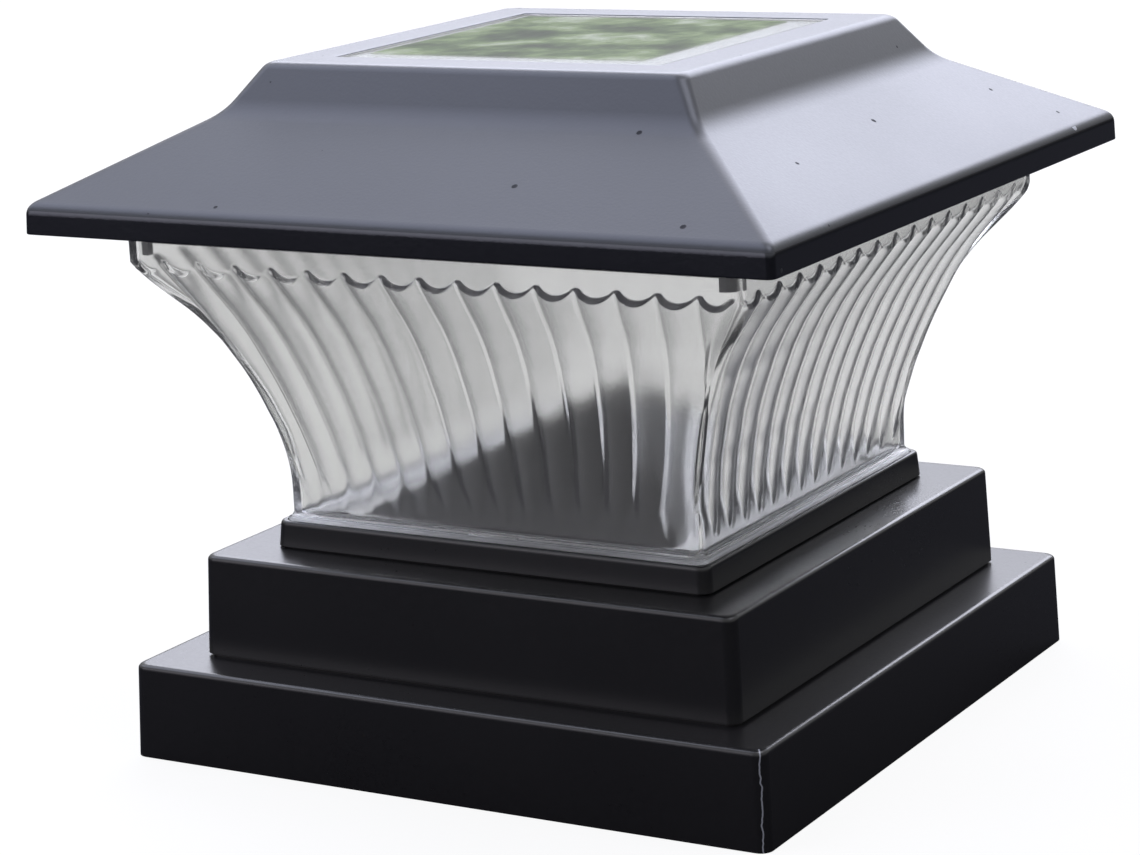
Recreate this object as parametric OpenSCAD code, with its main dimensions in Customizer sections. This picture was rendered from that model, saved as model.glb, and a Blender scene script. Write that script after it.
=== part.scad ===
// Deck post cap light: a hipped solar roof on a clear fluted lens, over a three-tier base that fits
// three sizes of square post. Millimetres, +Z up, origin in the middle of the base's bottom edge.
// Each half is half the side of a square, so it is also the distance from the middle to a face.

/* [Posts] */
// Side of the smallest post, which the base cap fits
post_small = 101.6; // [98:0.1:105]
// Side of the middle post, which the upper adapter fits
post_middle = 127; // [124:0.1:130]
// Side of the largest post, which the lower adapter fits
post_large = 152.4; // [149:0.1:156]
// Clearance on each side between a post and its skirt
post_gap = 0.5; // [0.2:0.1:1.5]

/* [Base] */
// Skirt wall of the base cap
wall_small = 2; // [1.6:0.1:3]
// Skirt wall of the upper adapter
wall_middle = 2.9; // [2:0.1:4]
// Skirt wall of the lower adapter
wall_large = 2.3; // [2:0.1:4]
// Height of the lower adapter
large_h = 21.35; // [18:0.05:30]
// Height of the upper adapter
middle_h = 23.1; // [20:0.1:32]
// Height of the base cap's outer band
band_h = 6.1; // [5:0.1:9]
// How far the band stands out from the base cap's skirt
band_lip = 1.2; // [0.8:0.1:2]
// How far the base cap's skirt reaches down from its band
skirt_drop = 20.4; // [12:0.1:20.5]
// Thickness of the adapters' top plates
plate_t = 2.5; // [2:0.1:3.5]
// How far each adapter's sides lean in from bottom to top
draft = 0.8; // [0.2:0.1:1.2]
// Height of the shadow gap at the foot of the upper tiers
seam_h = 0.6; // [0.3:0.1:1]
// Radius of the tiers' top edges
tier_edge = 1.2; // [0.6:0.1:1.8]
// Radius of the tiers' upright corners
tier_corner = 2.6; // [1.8:0.1:4]
// Side of the opening in the lower adapter's top plate
plate_opening = 84; // [70:1:88]
// Side of the pyramid on the base cap's floor
pyramid_side = 80; // [60:1:81]
// Height of the pyramid
pyramid_h = 25; // [15:0.5:30]
// Thickness of the base cap's floor and of the pyramid's walls
floor_t = 2; // [1.6:0.1:3]

/* [Lens] */
// Height of the lens from its foot to its rim
lens_h = 71.35; // [64:0.05:80]
// Height of the plain upright band under the rim
rim_h = 9.1; // [7:0.1:11]
// Height of the plain band above the foot
lens_plain = 7; // [5:0.5:9]
// Wall of the lens at a valley between two flutes
lens_wall = 1.8; // [1.4:0.1:2.2]
// Flutes on each face, across the rim
flutes = 16; // [12:2:20]
// How far a flute stands out at the rim
flute_depth = 1.5; // [0.6:0.1:1.8]
// Part of the flute pitch that is lost from rim to foot
flute_taper = 0.26; // [0.2:0.01:0.29]
// Power of the flare's curve
flare_power = 1.9; // [1.5:0.05:2.2]
// Width of the ledge of the base cap that shows around the lens
lens_ledge = 2.3; // [2:0.1:3]
// Thickness of the lens's foot
foot_t = 1.2; // [1:0.1:1.6]

/* [Roof] */
// Side of the roof at the eave
roof_side = 179.5; // [176:0.5:190]
// How far the eave overhangs the lens
eave = 15.15; // [13:0.05:20]
// Height of the fascia
fascia_h = 5.9; // [5:0.1:8]
// How far the tray sits above the bottom of the eave
tray_recess = 2.3; // [2:0.1:3]
// Wall of the roof
roof_wall = 2.2; // [1.8:0.1:2.4]
// Rise of the roof's slope above the fascia
slope_rise = 17; // [15:0.1:20]
// Side of the square where the slope meets the step
step_side = 116.8; // [114:0.2:120]
// Rise of the step above the slope
step_rise = 10.1; // [8.5:0.1:12]
// Side of the flat top
top_side = 102.8; // [100:0.2:106]

/* [Panel] */
// Side of the solar panel
panel_side = 79.2; // [70:0.2:82]
// Clearance around the panel in its pocket
panel_gap = 0.4; // [0.2:0.1:0.8]
// How far the panel's face lies below the roof's flat top
panel_sink = 0.2; // [0.1:0.1:1]
// Thickness of the clear cover over the cells
cover_t = 0.9; // [0.7:0.1:1.6]
// Thickness of the cells
cell_t = 0.3; // [0.2:0.05:0.4]
// Thickness of the white backing
backing_t = 1.2; // [1:0.1:1.6]
// Thickness of the foam tape under the panel
tape_t = 0.8; // [0.5:0.1:1.2]
// Strips that the cells are cut into
cell_strips = 4; // [2:1:8]
// White border on the two wide sides of the cells
border_wide = 8.5; // [5:0.5:10]
// White border on the two narrow sides of the cells
border_narrow = 2.8; // [2:0.1:5]

/* [Head] */
// Thickness of the soffit tray
tray_t = 1.8; // [1.6:0.1:2]
// Thickness of the seal on the lens rim
gasket_t = 0.6; // [0.4:0.1:1]
// Height of the tray's collar inside the lens rim
collar_h = 6; // [4:0.5:7]
// Height of the corner guides inside the lens rim
guide_h = 8.8; // [8:0.1:9]
// Width of each leg of a corner guide
guide_w = 3; // [3:0.5:8]
// Clearance between the collar and the lens
collar_gap = 0.4; // [0.3:0.1:0.8]
// Travel of the switch slider
switch_travel = 3; // [2:0.5:4]
// Diameter of the rechargeable cell
cell_d = 14.2; // [13.8:0.1:14.5]
// Length of the rechargeable cell with its button
cell_len = 50; // [46:0.5:51]
// Diameter of the lamp disc
lamp_disc_d = 44; // [38:1:46]
// Lamps on the disc
lamps = 6; // [3:1:8]
// Height of the control board above the tray
board_lift = 4; // [3.6:0.1:5]

/* [Hidden] */
$fn = 32;
eps = 0.01;
corner_steps = 4;

// Screws: shank, head, clearance hole and pilot hole radii, and the head's height
screw_r = 1.25;
screw_head_r = 2.5;
screw_head_h = 1.6;
screw_hole_r = 1.6;
pilot_r = 1.3;
boss_r = 2.8;
post_screw_r = 2.25;

// Halves and levels of the base
small_in = post_small / 2 + post_gap;
middle_in = post_middle / 2 + post_gap;
large_in = post_large / 2 + post_gap;
skirt_half = small_in + wall_small;
middle_half = middle_in + wall_middle;
large_half = large_in + wall_large;
band_half = skirt_half + band_lip;
middle_z = large_h;
band_z = middle_z + middle_h;
cap_z = band_z + band_h;
band_draft = 0.5;
seam_in = 0.8;
skirt_fit = 0.3;
foot_sink = 0.5;
floor_z = cap_z - foot_sink;
joint_c = middle_in - 3;
post_c = pyramid_side / 2 + 3.5;
plate_post_c = plate_opening / 2 + 5.5;
countersink_r = 2.9;
countersink_h = 1.7;
joint_screw_l = plate_t + 9.5;

// Lens
foot_z = floor_z;
rim_z = foot_z + lens_h;
scallop_z = rim_z - rim_h;
plain_z = foot_z + lens_plain;
rim_half = roof_side / 2 - eave;
lens_foot = band_half - band_draft - lens_ledge;
foot_lip = 1.05;
foot_in = lens_foot - 4.7;
foot_seat_gap = 0.2;
flute_pitch = 2 * rim_half / flutes;
fade_h = 8;
flare_rings = 8;
tab_w = 12;
tab_t = 1.6;
tab_toe = 1;
tab_gap = 0.3;
tab_out = foot_in + 0.6 + tab_t;

// Roof
tray_z = rim_z + gasket_t;
tray_top = tray_z + tray_t;
eave_z = tray_z - tray_recess;
fascia_z = eave_z + fascia_h;
step_z = fascia_z + slope_rise;
top_z = step_z + step_rise;
roof_half = roof_side / 2;
fascia_lean = 0.3;
step_half = step_side / 2;
top_half = top_side / 2;
roof_corner = 1.6;
step_round = 2.6;
top_round = 1.2;
fascia_round = 0.4;
roof_boss_in = 12.5;
roof_boss_c = roof_half - roof_boss_in;
tray_gap = 0.3;
tray_half = roof_half - roof_wall - tray_gap - fascia_lean;

// Panel
panel_half = panel_side / 2;
pocket_half = panel_half + panel_gap;
glass_z = top_z - panel_sink;
cells_z = glass_z - cover_t;
backing_z = cells_z - cell_t - backing_t;
pocket_z = backing_z - tape_t;
pan_wall = 2.2;
tape_w = 5;
cell_cut = 0.3;
lead_hole = [-20, 0];
lead_hole_r = 4;

// Tray fittings: [x, y] places are measured from the middle of the tray
collar_out = rim_half - lens_wall - collar_gap;
collar_wall = 1.8;
lamp_r = lamp_disc_d / 2;
lamp_board_t = 1.6;
lamp_size = 5;
lamp_t = 1.5;
lamp_ring = lamp_r * 0.62;
cup_gap = 1.2;
cup_wall = 1.5;
cup_in = lamp_r + cup_gap;
cup_out = cup_in + cup_wall;
cup_h = 10;
cup_ear_r = 3.6;
cup_ear_t = 1.4;
cup_ear_c = cup_out + 2.8;
cup_ears = [30, 150, 270];
cup_boss_h = 3.2;
wire_hole_r = 5;

// Battery housing, door and contacts
case_gap = 0.5;
case_wall = 1.6;
spring_room = 5.4;
plate_room = 0.6;
case_in_x = (cell_len + spring_room + plate_room) / 2;
case_in_y = cell_d / 2 + case_gap;
case_out_x = case_in_x + case_wall;
case_out_y = case_in_y + case_wall;
case_y = 42;
cell_z = tray_top + 0.4 + cell_d / 2;
case_top = cell_z + cell_d / 2 + case_gap + case_wall;
case_ear_x = case_out_x + 3.6;
case_ear_h = 6;
cell_x = case_in_x - plate_room - cell_len / 2;
contact_t = 0.5;
contact_size = 11;
slot_gap = 0.2;
tag_w = 3;
tag_out = 2;
window_x = case_in_x + 0.3;
window_y = case_in_y + 0.4;
door_side_gap = 0.3;
door_far_gap = 0.5;
door_lap = 2.2;
door_t = 1.2;
door_gap = 0.3;
hinge_r = 1.8;
hinge_pin_r = 1;
hinge_run = 0.05;
hinge_w = 24;
hinge_ear_w = 3;
hinge_end_gap = 0.3;
door_near_lap = 1;
hinge_y = case_y + window_y + 4;
hinge_z = tray_z - door_gap - hinge_r;
ear_half = 2.6;

// Switch
switch_x = 46;
switch_body = [15, 7, 5.4];
switch_wall = 0.8;
switch_gap = 0.25;
knob = [5, 3, 2.6];
slider_plate = [7, 4.6, 1.2];
switch_ear_x = 10.5;
switch_ear_t = 1.6;
switch_boss_h = 2.4;
pin_r = 0.5;
pin_h = 1.2;

// Control board
board = [56, 30, 1.6];
board_y = -38;
board_z = tray_top + board_lift;
board_top = board_z + board[2];
board_hole = [24, 11];

// Leads: their radius, their sides and the rings on each stretch
lead_r = 0.75;
lead_sides = 8;
lead_steps = 4;
tag_x = case_out_x + tag_out;
tag_z = cell_z + 4;
board_end = board[0] / 2;
pad_x = board_end - 4;
pad_red_x = pad_x - 4;
pad_y = board_y + 8;
lamp_pad_x = 6;
lamp_pad_y = board_y + board[1] / 2 - 3;
pin_x = 4;
low_z = tray_top + 5.2;
mid_z = tray_top + 9;
high_z = board_top + 9;
panel_red_route = [
    [lead_hole[0] + 2, lead_hole[1], backing_z],
    [lead_hole[0] + 2, lead_hole[1], backing_z - 6],
    [lead_hole[0] + 1, pad_y + 12, high_z],
    [-pad_red_x, pad_y, board_top + 4.6],
    [-pad_red_x, pad_y, board_top]
];
panel_black_route = [
    [lead_hole[0] - 2, lead_hole[1], backing_z],
    [lead_hole[0] - 2, lead_hole[1], backing_z - 6],
    [lead_hole[0] - 3, pad_y + 12, high_z],
    [-pad_x, pad_y - 2, board_top + 4.6],
    [-pad_x, pad_y - 2, board_top]
];
battery_red_route = [
    [tag_x, case_y, tag_z],
    [tag_x + 3, case_y, tag_z],
    [tag_x + 5.4, case_y - 14, tray_top + 6.2],
    [tag_x + 1.4, 0, low_z],
    [pad_x, pad_y + 8, mid_z],
    [pad_red_x, pad_y, board_top + 3.6],
    [pad_red_x, pad_y, board_top]
];
battery_black_route = [
    [-tag_x, case_y, tag_z],
    [-tag_x - 3, case_y, tag_z],
    [-tag_x - 5.4, case_y - 14, tray_top + 6.2],
    [-tag_x - 2.4, 0, low_z],
    [-board_end - 3, pad_y, tray_top + 8.2],
    [-pad_x - 1, board_y, board_top + 3.6],
    [-pad_x - 1, board_y, board_top]
];
lamp_red_route = [
    [lamp_pad_x, lamp_pad_y, board_top],
    [lamp_pad_x, lamp_pad_y, board_top + 2.6],
    [lamp_pad_x - 1, lamp_pad_y + 6, board_top + 1.6],
    [2, -6, tray_top + 2.2],
    [2, 0, tray_top + 0.2],
    [2, 0, tray_z]
];
lamp_black_route = [for (p = lamp_red_route) [-p[0], p[1], p[2]]];
switch_pin_z = tray_top + switch_body[2] + pin_h;
switch_routes = [
    [
        [switch_x - pin_x, 0, switch_pin_z],
        [switch_x - pin_x, 0, switch_pin_z + 3.6],
        [board_end + 10, pad_y + 8, high_z - 4.4],
        [pad_x + 1, board_y, board_top + 4.6],
        [pad_x + 1, board_y, board_top]
    ],
    [
        [switch_x, 0, switch_pin_z],
        [switch_x, 0, switch_pin_z + 3.6],
        [board_end + 13, pad_y + 2, high_z - 4.4],
        [pad_x + 1, board_y - 6, board_top + 4.6],
        [pad_x + 1, board_y - 6, board_top]
    ]
];

// ---- Shapes ----

// A rounded square's points at height z, anticlockwise from above
function square_ring(half, r, z) = [
    for (q = [0:3]) for (k = [0:corner_steps])
        let (a = 90 * q + 90 * k / corner_steps, sx = (q == 0 || q == 3) ? 1 : -1, sy = q < 2 ? 1 : -1)
            [sx * (half - r) + r * cos(a), sy * (half - r) + r * sin(a), z]
];

// Places in the point list where each ring starts
function starts(rings) = [for (i = 0, s = 0; i < len(rings); s = s + len(rings[i]), i = i + 1) s];

// Triangles between two rings, from a of na points to b of nb, where one count is a multiple of the other
function strip(a, na, b, nb) =
    let (n = max(na, nb)) [
        for (j = [0:n - 1])
            let (
                a0 = a + floor(j * na / n),
                a1 = a + floor((j + 1) * na / n) % na,
                b0 = b + floor(j * nb / n),
                b1 = b + floor((j + 1) * nb / n) % nb
            )
                each [if (b0 != b1) [a0, b0, b1], if (a0 != a1) [a0, b1, a1]]
    ];

// A solid through rings of points, from the lowest ring to the highest
module loft(rings) {
    last = len(rings) - 1;
    s = starts(rings);
    bottom = [for (j = [0:len(rings[0]) - 1]) j];
    top = [for (j = [len(rings[last]) - 1:-1:0]) s[last] + j];
    sides = [for (i = [0:last - 1]) each strip(s[i], len(rings[i]), s[i + 1], len(rings[i + 1]))];
    points = [for (ring = rings) each ring];
    polyhedron(points = points, faces = concat([bottom], sides, [top]), convexity = 10);
}

// A closed shell through rings that go up the outside and come back down the inside
module closed_loft(rings) {
    n = len(rings);
    s = starts(rings);
    faces = [
        for (i = [0:n - 1])
            let (k = (i + 1) % n)
                each strip(s[i], len(rings[i]), s[k], len(rings[k]))
    ];
    polyhedron(points = [for (ring = rings) each ring], faces = faces, convexity = 10);
}

// A loft of rounded squares through [half, z] points
module square_loft(outline, corner) {
    loft([for (p = outline) square_ring(p[0], corner, p[1])]);
}

module square_plate(half, corner, z, t) {
    translate([0, 0, z])
        linear_extrude(t)
            polygon([for (p = square_ring(half, corner, 0)) [p[0], p[1]]]);
}

module box(x, y, z0, z1) {
    translate([-x, -y, z0])
        cube([2 * x, 2 * y, z1 - z0]);
}

module at_corners(c) {
    for (sx = [-1, 1]) for (sy = [-1, 1])
        translate([sx * c, sy * c, 0])
            children();
}

// Points of the curve that rounds a corner at b, starting towards a and ending towards c, cut back by r
function rounded(a, b, c, r, steps) = [
    for (k = [0:steps])
        let (t = k / steps, p = b + r * unit(a - b), q = b + r * unit(c - b))
            (1 - t) * (1 - t) * p + 2 * t * (1 - t) * b + t * t * q
];

function unit(v) = v / norm(v);

// Where the line through p and q, moved d to its right, meets the line through q and s, moved d to its right
function mitre(p, q, s, d) =
    let (u = unit(q - p), v = unit(s - q), nu = [u[1], -u[0]], nv = [v[1], -v[0]], m = nu + nv)
        q + d * m * 2 / (m * m);

// ---- Tubes along a route ----

function curve(a, b, c, d, t) =
    0.5 * (2 * b + (c - a) * t + (2 * a - 5 * b + 4 * c - d) * t * t + (3 * b - a - 3 * c + d) * t * t * t);

function route(p, steps) = concat(
    [
        for (i = [0:len(p) - 2]) for (k = [0:steps - 1])
            curve(p[max(i - 1, 0)], p[i], p[i + 1], p[min(i + 2, len(p) - 1)], k / steps)
    ],
    [p[len(p) - 1]]
);

function tangents(path, first, last) = [
    for (i = [0:len(path) - 1])
        i == 0 ? first : i == len(path) - 1 ? last : unit(path[i + 1] - path[i - 1])
];

function square_to(n, t) = unit(n - (n * t) * t);

function side_vectors(t, start) = [
    for (i = 0, n = square_to(start, t[0]); i < len(t); i = i + 1, n = i < len(t) ? square_to(n, t[i]) : n) n
];

module tube(path, first, last, r, sides, start = [1, 0.3, 0.2]) {
    t = tangents(path, first, last);
    n = side_vectors(t, start);
    loft([
        for (i = [0:len(path) - 1]) [
            for (j = [0:sides - 1])
                path[i] + r * (cos(360 * j / sides) * n[i] + sin(360 * j / sides) * cross(t[i], n[i]))
        ]
    ]);
}

module lead(p) {
    last = len(p) - 1;
    tube(route(p, lead_steps), unit(p[1] - p[0]), unit(p[last] - p[last - 1]), lead_r, lead_sides);
}

// A screw whose head sits on z = 0 and whose shank points up
module screw(length, r = screw_r, head_r = screw_head_r) {
    difference() {
        union() {
            translate([0, 0, -screw_head_h]) cylinder(h = screw_head_h, r = head_r);
            cylinder(h = length, r = r);
        }
        for (a = [0, 90])
            rotate([0, 0, a])
                translate([-head_r * 0.6, -0.3, -screw_head_h - eps])
                    cube([head_r * 1.2, 0.6, screw_head_h * 0.6]);
    }
}

module countersunk_screw(length) {
    difference() {
        union() {
            cylinder(h = countersink_h, r1 = countersink_r - 0.1, r2 = screw_r, $fn = 48);
            cylinder(h = length, r = screw_r);
        }
        for (a = [0, 90])
            rotate([0, 0, a])
                translate([-1.5, -0.3, -eps])
                    cube([3, 0.6, 0.9]);
    }
}

// ---- Base ----

// A tier's outline from its foot to its top, with an optional shadow gap at the foot
function tier_outline(half, lean, z0, z1, gap) = concat(
    gap > 0 ? [[half - seam_in, z0], [half - seam_in, z0 + gap]] : [],
    [[half, z0 + gap]],
    rounded([half, z0], [half - lean, z1], [0, z1], tier_edge, 3)
);

module adapter_6in() {
    color([0.1, 0.1, 0.11])
        difference() {
            square_loft(tier_outline(large_half, draft, 0, large_h, 0), tier_corner);
            box(large_in, large_in, -1, large_h - plate_t);
            square_plate(plate_opening / 2, 8, 0, large_h + 1);
            at_corners(plate_post_c)
                cylinder(h = large_h + 1, r = post_screw_r);
            at_corners(joint_c) {
                cylinder(h = large_h + 1, r = screw_hole_r);
                translate([0, 0, large_h - plate_t - eps])
                    cylinder(h = countersink_h, r1 = countersink_r + 0.1, r2 = screw_hole_r, $fn = 48);
            }
        }
}

module adapter_5in() {
    boss_h = middle_h - plate_t;
    color([0.1, 0.1, 0.11])
        difference() {
            square_loft(tier_outline(middle_half, draft + 0.1, middle_z, band_z, seam_h), tier_corner);
            difference() {
                box(middle_in, middle_in, middle_z - 1, band_z - plate_t);
                at_corners(joint_c)
                    translate([0, 0, middle_z])
                        cylinder(h = boss_h + 1, r = 3.2);
            }
            box(skirt_half + skirt_fit, skirt_half + skirt_fit, middle_z, band_z + 1);
            at_corners(joint_c)
                translate([0, 0, middle_z - 1])
                    cylinder(h = boss_h - 3, r = pilot_r);
        }
}

module adapter_screws() {
    color([0.6, 0.6, 0.62])
        at_corners(joint_c)
            translate([0, 0, large_h - plate_t + 0.1])
                countersunk_screw(joint_screw_l);
}

// A square pyramid with its base at z = 0
module pyramid(half, height) {
    loft([square_ring(half, half * 0.02, 0), square_ring(0.4, 0.1, height - 0.4 * height / half)]);
}

module base_cap_4in() {
    pyramid_half = pyramid_side / 2;
    hollow_half = pyramid_half - floor_t * 1.8;
    color([0.1, 0.1, 0.11])
        difference() {
            union() {
                square_loft(tier_outline(band_half, band_draft, band_z, cap_z, seam_h * 0.6), tier_corner);
                box(skirt_half, skirt_half, band_z - skirt_drop, floor_z - eps);
                translate([0, 0, floor_z - eps]) pyramid(pyramid_half, pyramid_h);
            }
            box(small_in, small_in, band_z - skirt_drop - 1, floor_z - floor_t);
            translate([0, 0, floor_z - floor_t - eps])
                pyramid(hollow_half, pyramid_h * hollow_half / pyramid_half);
            difference() {
                foot_half = lens_foot + foot_lip + foot_seat_gap;
                box(foot_half, foot_half, floor_z, cap_z + 1);
                translate([0, 0, floor_z - eps]) pyramid(pyramid_half, pyramid_h);
            }
            at_corners(post_c)
                translate([0, 0, floor_z - floor_t - 1])
                    cylinder(h = floor_t + 2, r = post_screw_r);
            for (a = [0:90:270])
                rotate([0, 0, a])
                    translate([-tab_w / 2 - tab_gap, tab_out - tab_t - tab_gap, floor_z - floor_t - 1])
                        cube([tab_w + 2 * tab_gap, tab_t + tab_toe + 2 * tab_gap, floor_t + 2]);
        }
}

// ---- Lens ----

// Share of the flare, 0 at the plain band and 1 where the flutes meet the rim
function flare(z) = pow(max(0, min(1, (z - plain_z) / (scallop_z - plain_z))), flare_power);
// Half of the lens at a valley between flutes
function valley_half(z) = lens_foot - 0.5 + (rim_half - lens_foot + 0.5) * flare(z);
// Size of the flute pitch against its size at the rim
function pitch_share(z) = 1 - flute_taper * (scallop_z - z) / (scallop_z - plain_z);
// How far the flutes' valleys are filled in, from 0 above the fade to 1 at the plain band
function fill(z) = max(0, min(1, (plain_z + fade_h - z) / fade_h));
// Outline of a face at offset x: convex flutes, filled in near the foot and cut off at the rim
function face_half(x, z) =
    let (
        d = flute_depth * pitch_share(z) * (1 - 0.55 * fill(z)),
        f = abs(x) / (flute_pitch * pitch_share(z)),
        bump = 1 - pow(2 * (f - floor(f)) - 1, 2)
    )
        min(rim_half, valley_half(z) + d * max(bump, fill(z)));

// Offsets of the points across a face: one at each valley and each crest, and the corners
function face_offsets(z) =
    let (p = flute_pitch * pitch_share(z), inner = flutes / 2 - 1, c = face_half(valley_half(z), z))
        concat(
            [-c, -(c + inner * p) / 2],
            [for (k = [-2 * inner:2 * inner]) k * p / 2],
            [(c + inner * p) / 2]
        );

function lens_ring(z) =
    let (x = face_offsets(z)) [
        for (q = [0:3]) for (i = [0:len(x) - 1])
            let (y = i == 0 ? x[0] : -face_half(x[i], z), a = 90 * q)
                [x[i] * cos(a) - y * sin(a), x[i] * sin(a) + y * cos(a), z]
    ];

function corner_ring(half, z) = [
    [-half, -half, z], [half, -half, z], [half, half, z], [-half, half, z]
];

flare_step = (scallop_z - 3.2 - plain_z - fade_h) / flare_rings;
lens_levels = concat(
    [plain_z, plain_z + fade_h / 2],
    [for (k = [0:flare_rings]) plain_z + fade_h + k * flare_step],
    [scallop_z - 1.6, scallop_z]
);
inner_levels = concat([for (k = [8:-1:0]) plain_z + k * (scallop_z - plain_z) / 8], [foot_z + foot_t]);

module lens() {
    flange = lens_foot + foot_lip;
    color([0.8, 0.84, 0.82, 0.5])
        union() {
            closed_loft(concat(
                [corner_ring(foot_in, foot_z), corner_ring(flange, foot_z)],
                [corner_ring(flange, foot_z + foot_t)],
                [corner_ring(lens_foot, foot_z + foot_t)],
                [for (z = lens_levels) lens_ring(z)],
                [corner_ring(rim_half, rim_z), corner_ring(rim_half - lens_wall, rim_z)],
                [for (z = inner_levels) corner_ring(valley_half(z) - lens_wall, z)],
                [corner_ring(foot_in, foot_z + foot_t)]
            ));
            for (a = [0:90:270])
                rotate([0, 0, a]) {
                    translate([-tab_w / 2, tab_out - tab_t, floor_z - floor_t - 1.8])
                        cube([tab_w, tab_t, floor_t + 2.2]);
                    translate([-tab_w / 2, tab_out - tab_t, floor_z - floor_t - 1.8])
                        cube([tab_w, tab_t + tab_toe, 1.5]);
                }
        }
}

// ---- Roof ----

roof_points = [
    [roof_half, eave_z], [roof_half - fascia_lean, fascia_z], [step_half, step_z], [top_half, top_z], [0, top_z]
];

// The roof's outline, or with d over 0 the same outline moved in by d
function roof_outline(d) =
    let (
        p = roof_points,
        fascia = mitre(p[0], p[1], p[2], -d),
        step = mitre(p[1], p[2], p[3], -d),
        top = mitre(p[2], p[3], p[4], -d),
        foot = [p[0][0] - d, d > 0 ? eave_z - 1 : eave_z]
    )
        concat(
            [foot],
            rounded(foot, fascia, step, fascia_round, 2),
            rounded(fascia, step, top, step_round, 4),
            rounded(step, top, [0, top[1]], top_round, 3)
        );

module roof_shell() {
    color([0.24, 0.24, 0.27])
        difference() {
            square_loft(roof_outline(0), roof_corner);
            difference() {
                square_loft(roof_outline(roof_wall), 0.6);
                at_corners(roof_boss_c)
                    translate([0, 0, tray_top])
                        cylinder(h = top_z - tray_top, r = boss_r);
                box(pocket_half + pan_wall, pocket_half + pan_wall, pocket_z - pan_wall, top_z);
            }
            box(pocket_half, pocket_half, pocket_z, top_z + 1);
            at_corners(roof_boss_c)
                translate([0, 0, tray_top - 1])
                    cylinder(h = 5.6, r = pilot_r);
            translate([lead_hole[0], lead_hole[1], pocket_z - pan_wall - 1])
                cylinder(h = pan_wall + 2, r = lead_hole_r);
        }
}

// ---- Panel ----

module panel_glass() {
    color([0.6, 0.68, 0.6, 0.5])
        box(panel_half, panel_half, cells_z, glass_z);
}

module solar_cells() {
    x0 = -panel_half + border_narrow;
    x1 = panel_half - border_wide;
    y0 = -panel_half + border_wide;
    y1 = panel_half - border_narrow;
    pitch = (y1 - y0 + cell_cut) / cell_strips;
    color([0.36, 0.43, 0.28])
        for (k = [0:cell_strips - 1])
            translate([x0, y0 + k * pitch, cells_z - cell_t])
                cube([x1 - x0, pitch - cell_cut, cell_t]);
}

module panel_backing() {
    color([0.93, 0.93, 0.93])
        box(panel_half, panel_half, backing_z, backing_z + backing_t);
}

module panel_tape() {
    color([0.2, 0.2, 0.2])
        difference() {
            box(panel_half, panel_half, pocket_z, backing_z);
            box(panel_half - tape_w, panel_half - tape_w, pocket_z - 1, backing_z + 1);
        }
}

// ---- Soffit tray ----

module at_cup_ears() {
    for (a = cup_ears)
        rotate([0, 0, a])
            translate([cup_ear_c, 0, 0])
                children();
}

module at_board_holes() {
    for (sx = [-1, 1]) for (sy = [-1, 1])
        translate([sx * board_hole[0], board_y + sy * board_hole[1], 0])
            children();
}

module at_case_ears() {
    for (s = [-1, 1])
        translate([s * case_ear_x, case_y, 0])
            children();
}

module at_switch_ears() {
    for (s = [-1, 1])
        translate([switch_x + s * switch_ear_x, 0, 0])
            children();
}

// The square band inside the lens rim, from z0 up to the tray
module collar(z0, z1) {
    difference() {
        square_plate(collar_out, 2.4, z0, z1 - z0);
        square_plate(collar_out - collar_wall, 1.4, z0 - 1, z1 - z0 + 2);
    }
}

module hinge_ears() {
    for (s = [-1, 1])
        translate([s * (hinge_w / 2 + hinge_end_gap + hinge_ear_w / 2), hinge_y, 0]) {
            translate([-hinge_ear_w / 2, -ear_half, hinge_z])
                cube([hinge_ear_w, 2 * ear_half, tray_z - hinge_z + eps]);
            translate([-hinge_ear_w / 2, 0, hinge_z])
                rotate([0, 90, 0])
                    cylinder(h = hinge_ear_w, r = ear_half);
        }
}

module soffit_tray() {
    stem_x = knob[0] / 2 + switch_travel / 2 + switch_gap;
    color([0.12, 0.12, 0.13])
        difference() {
            union() {
                square_plate(tray_half, 1.5, tray_z, tray_t);
                collar(tray_z - collar_h, tray_z + eps);
                intersection() {
                    collar(tray_z - guide_h, tray_z);
                    at_corners(collar_out)
                        box(guide_w, guide_w, tray_z - guide_h, tray_z);
                }
                at_cup_ears()
                    translate([0, 0, tray_top - eps])
                        cylinder(h = cup_boss_h, r = boss_r);
                at_board_holes()
                    translate([0, 0, tray_top - eps])
                        cylinder(h = board_lift + eps, r = boss_r);
                at_switch_ears()
                    translate([0, 0, tray_z - switch_boss_h])
                        cylinder(h = switch_boss_h + eps, r = boss_r);
                hinge_ears();
            }
            at_corners(roof_boss_c)
                translate([0, 0, tray_z - 1])
                    cylinder(h = tray_t + 2, r = screw_hole_r);
            translate([0, case_y, 0]) box(window_x, window_y, tray_z - 1, tray_top + 1);
            at_case_ears()
                translate([0, 0, tray_z - 1])
                    cylinder(h = tray_t + 2, r = screw_hole_r);
            at_cup_ears()
                translate([0, 0, tray_z - 1])
                    cylinder(h = tray_t + cup_boss_h, r = pilot_r);
            at_board_holes()
                translate([0, 0, tray_top - 0.6])
                    cylinder(h = board_lift + 1, r = pilot_r);
            at_switch_ears()
                translate([0, 0, tray_z - switch_boss_h + 0.8])
                    cylinder(h = tray_t + switch_boss_h, r = pilot_r);
            translate([0, 0, tray_z - 1]) cylinder(h = tray_t + 2, r = wire_hole_r);
            translate([switch_x, 0, 0])
                box(stem_x, knob[1] / 2 + switch_gap, tray_z - 1, tray_top + 1);
            translate([-hinge_w, hinge_y, hinge_z])
                rotate([0, 90, 0])
                    cylinder(h = 2 * hinge_w, r = hinge_pin_r + hinge_run);
        }
}

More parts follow.
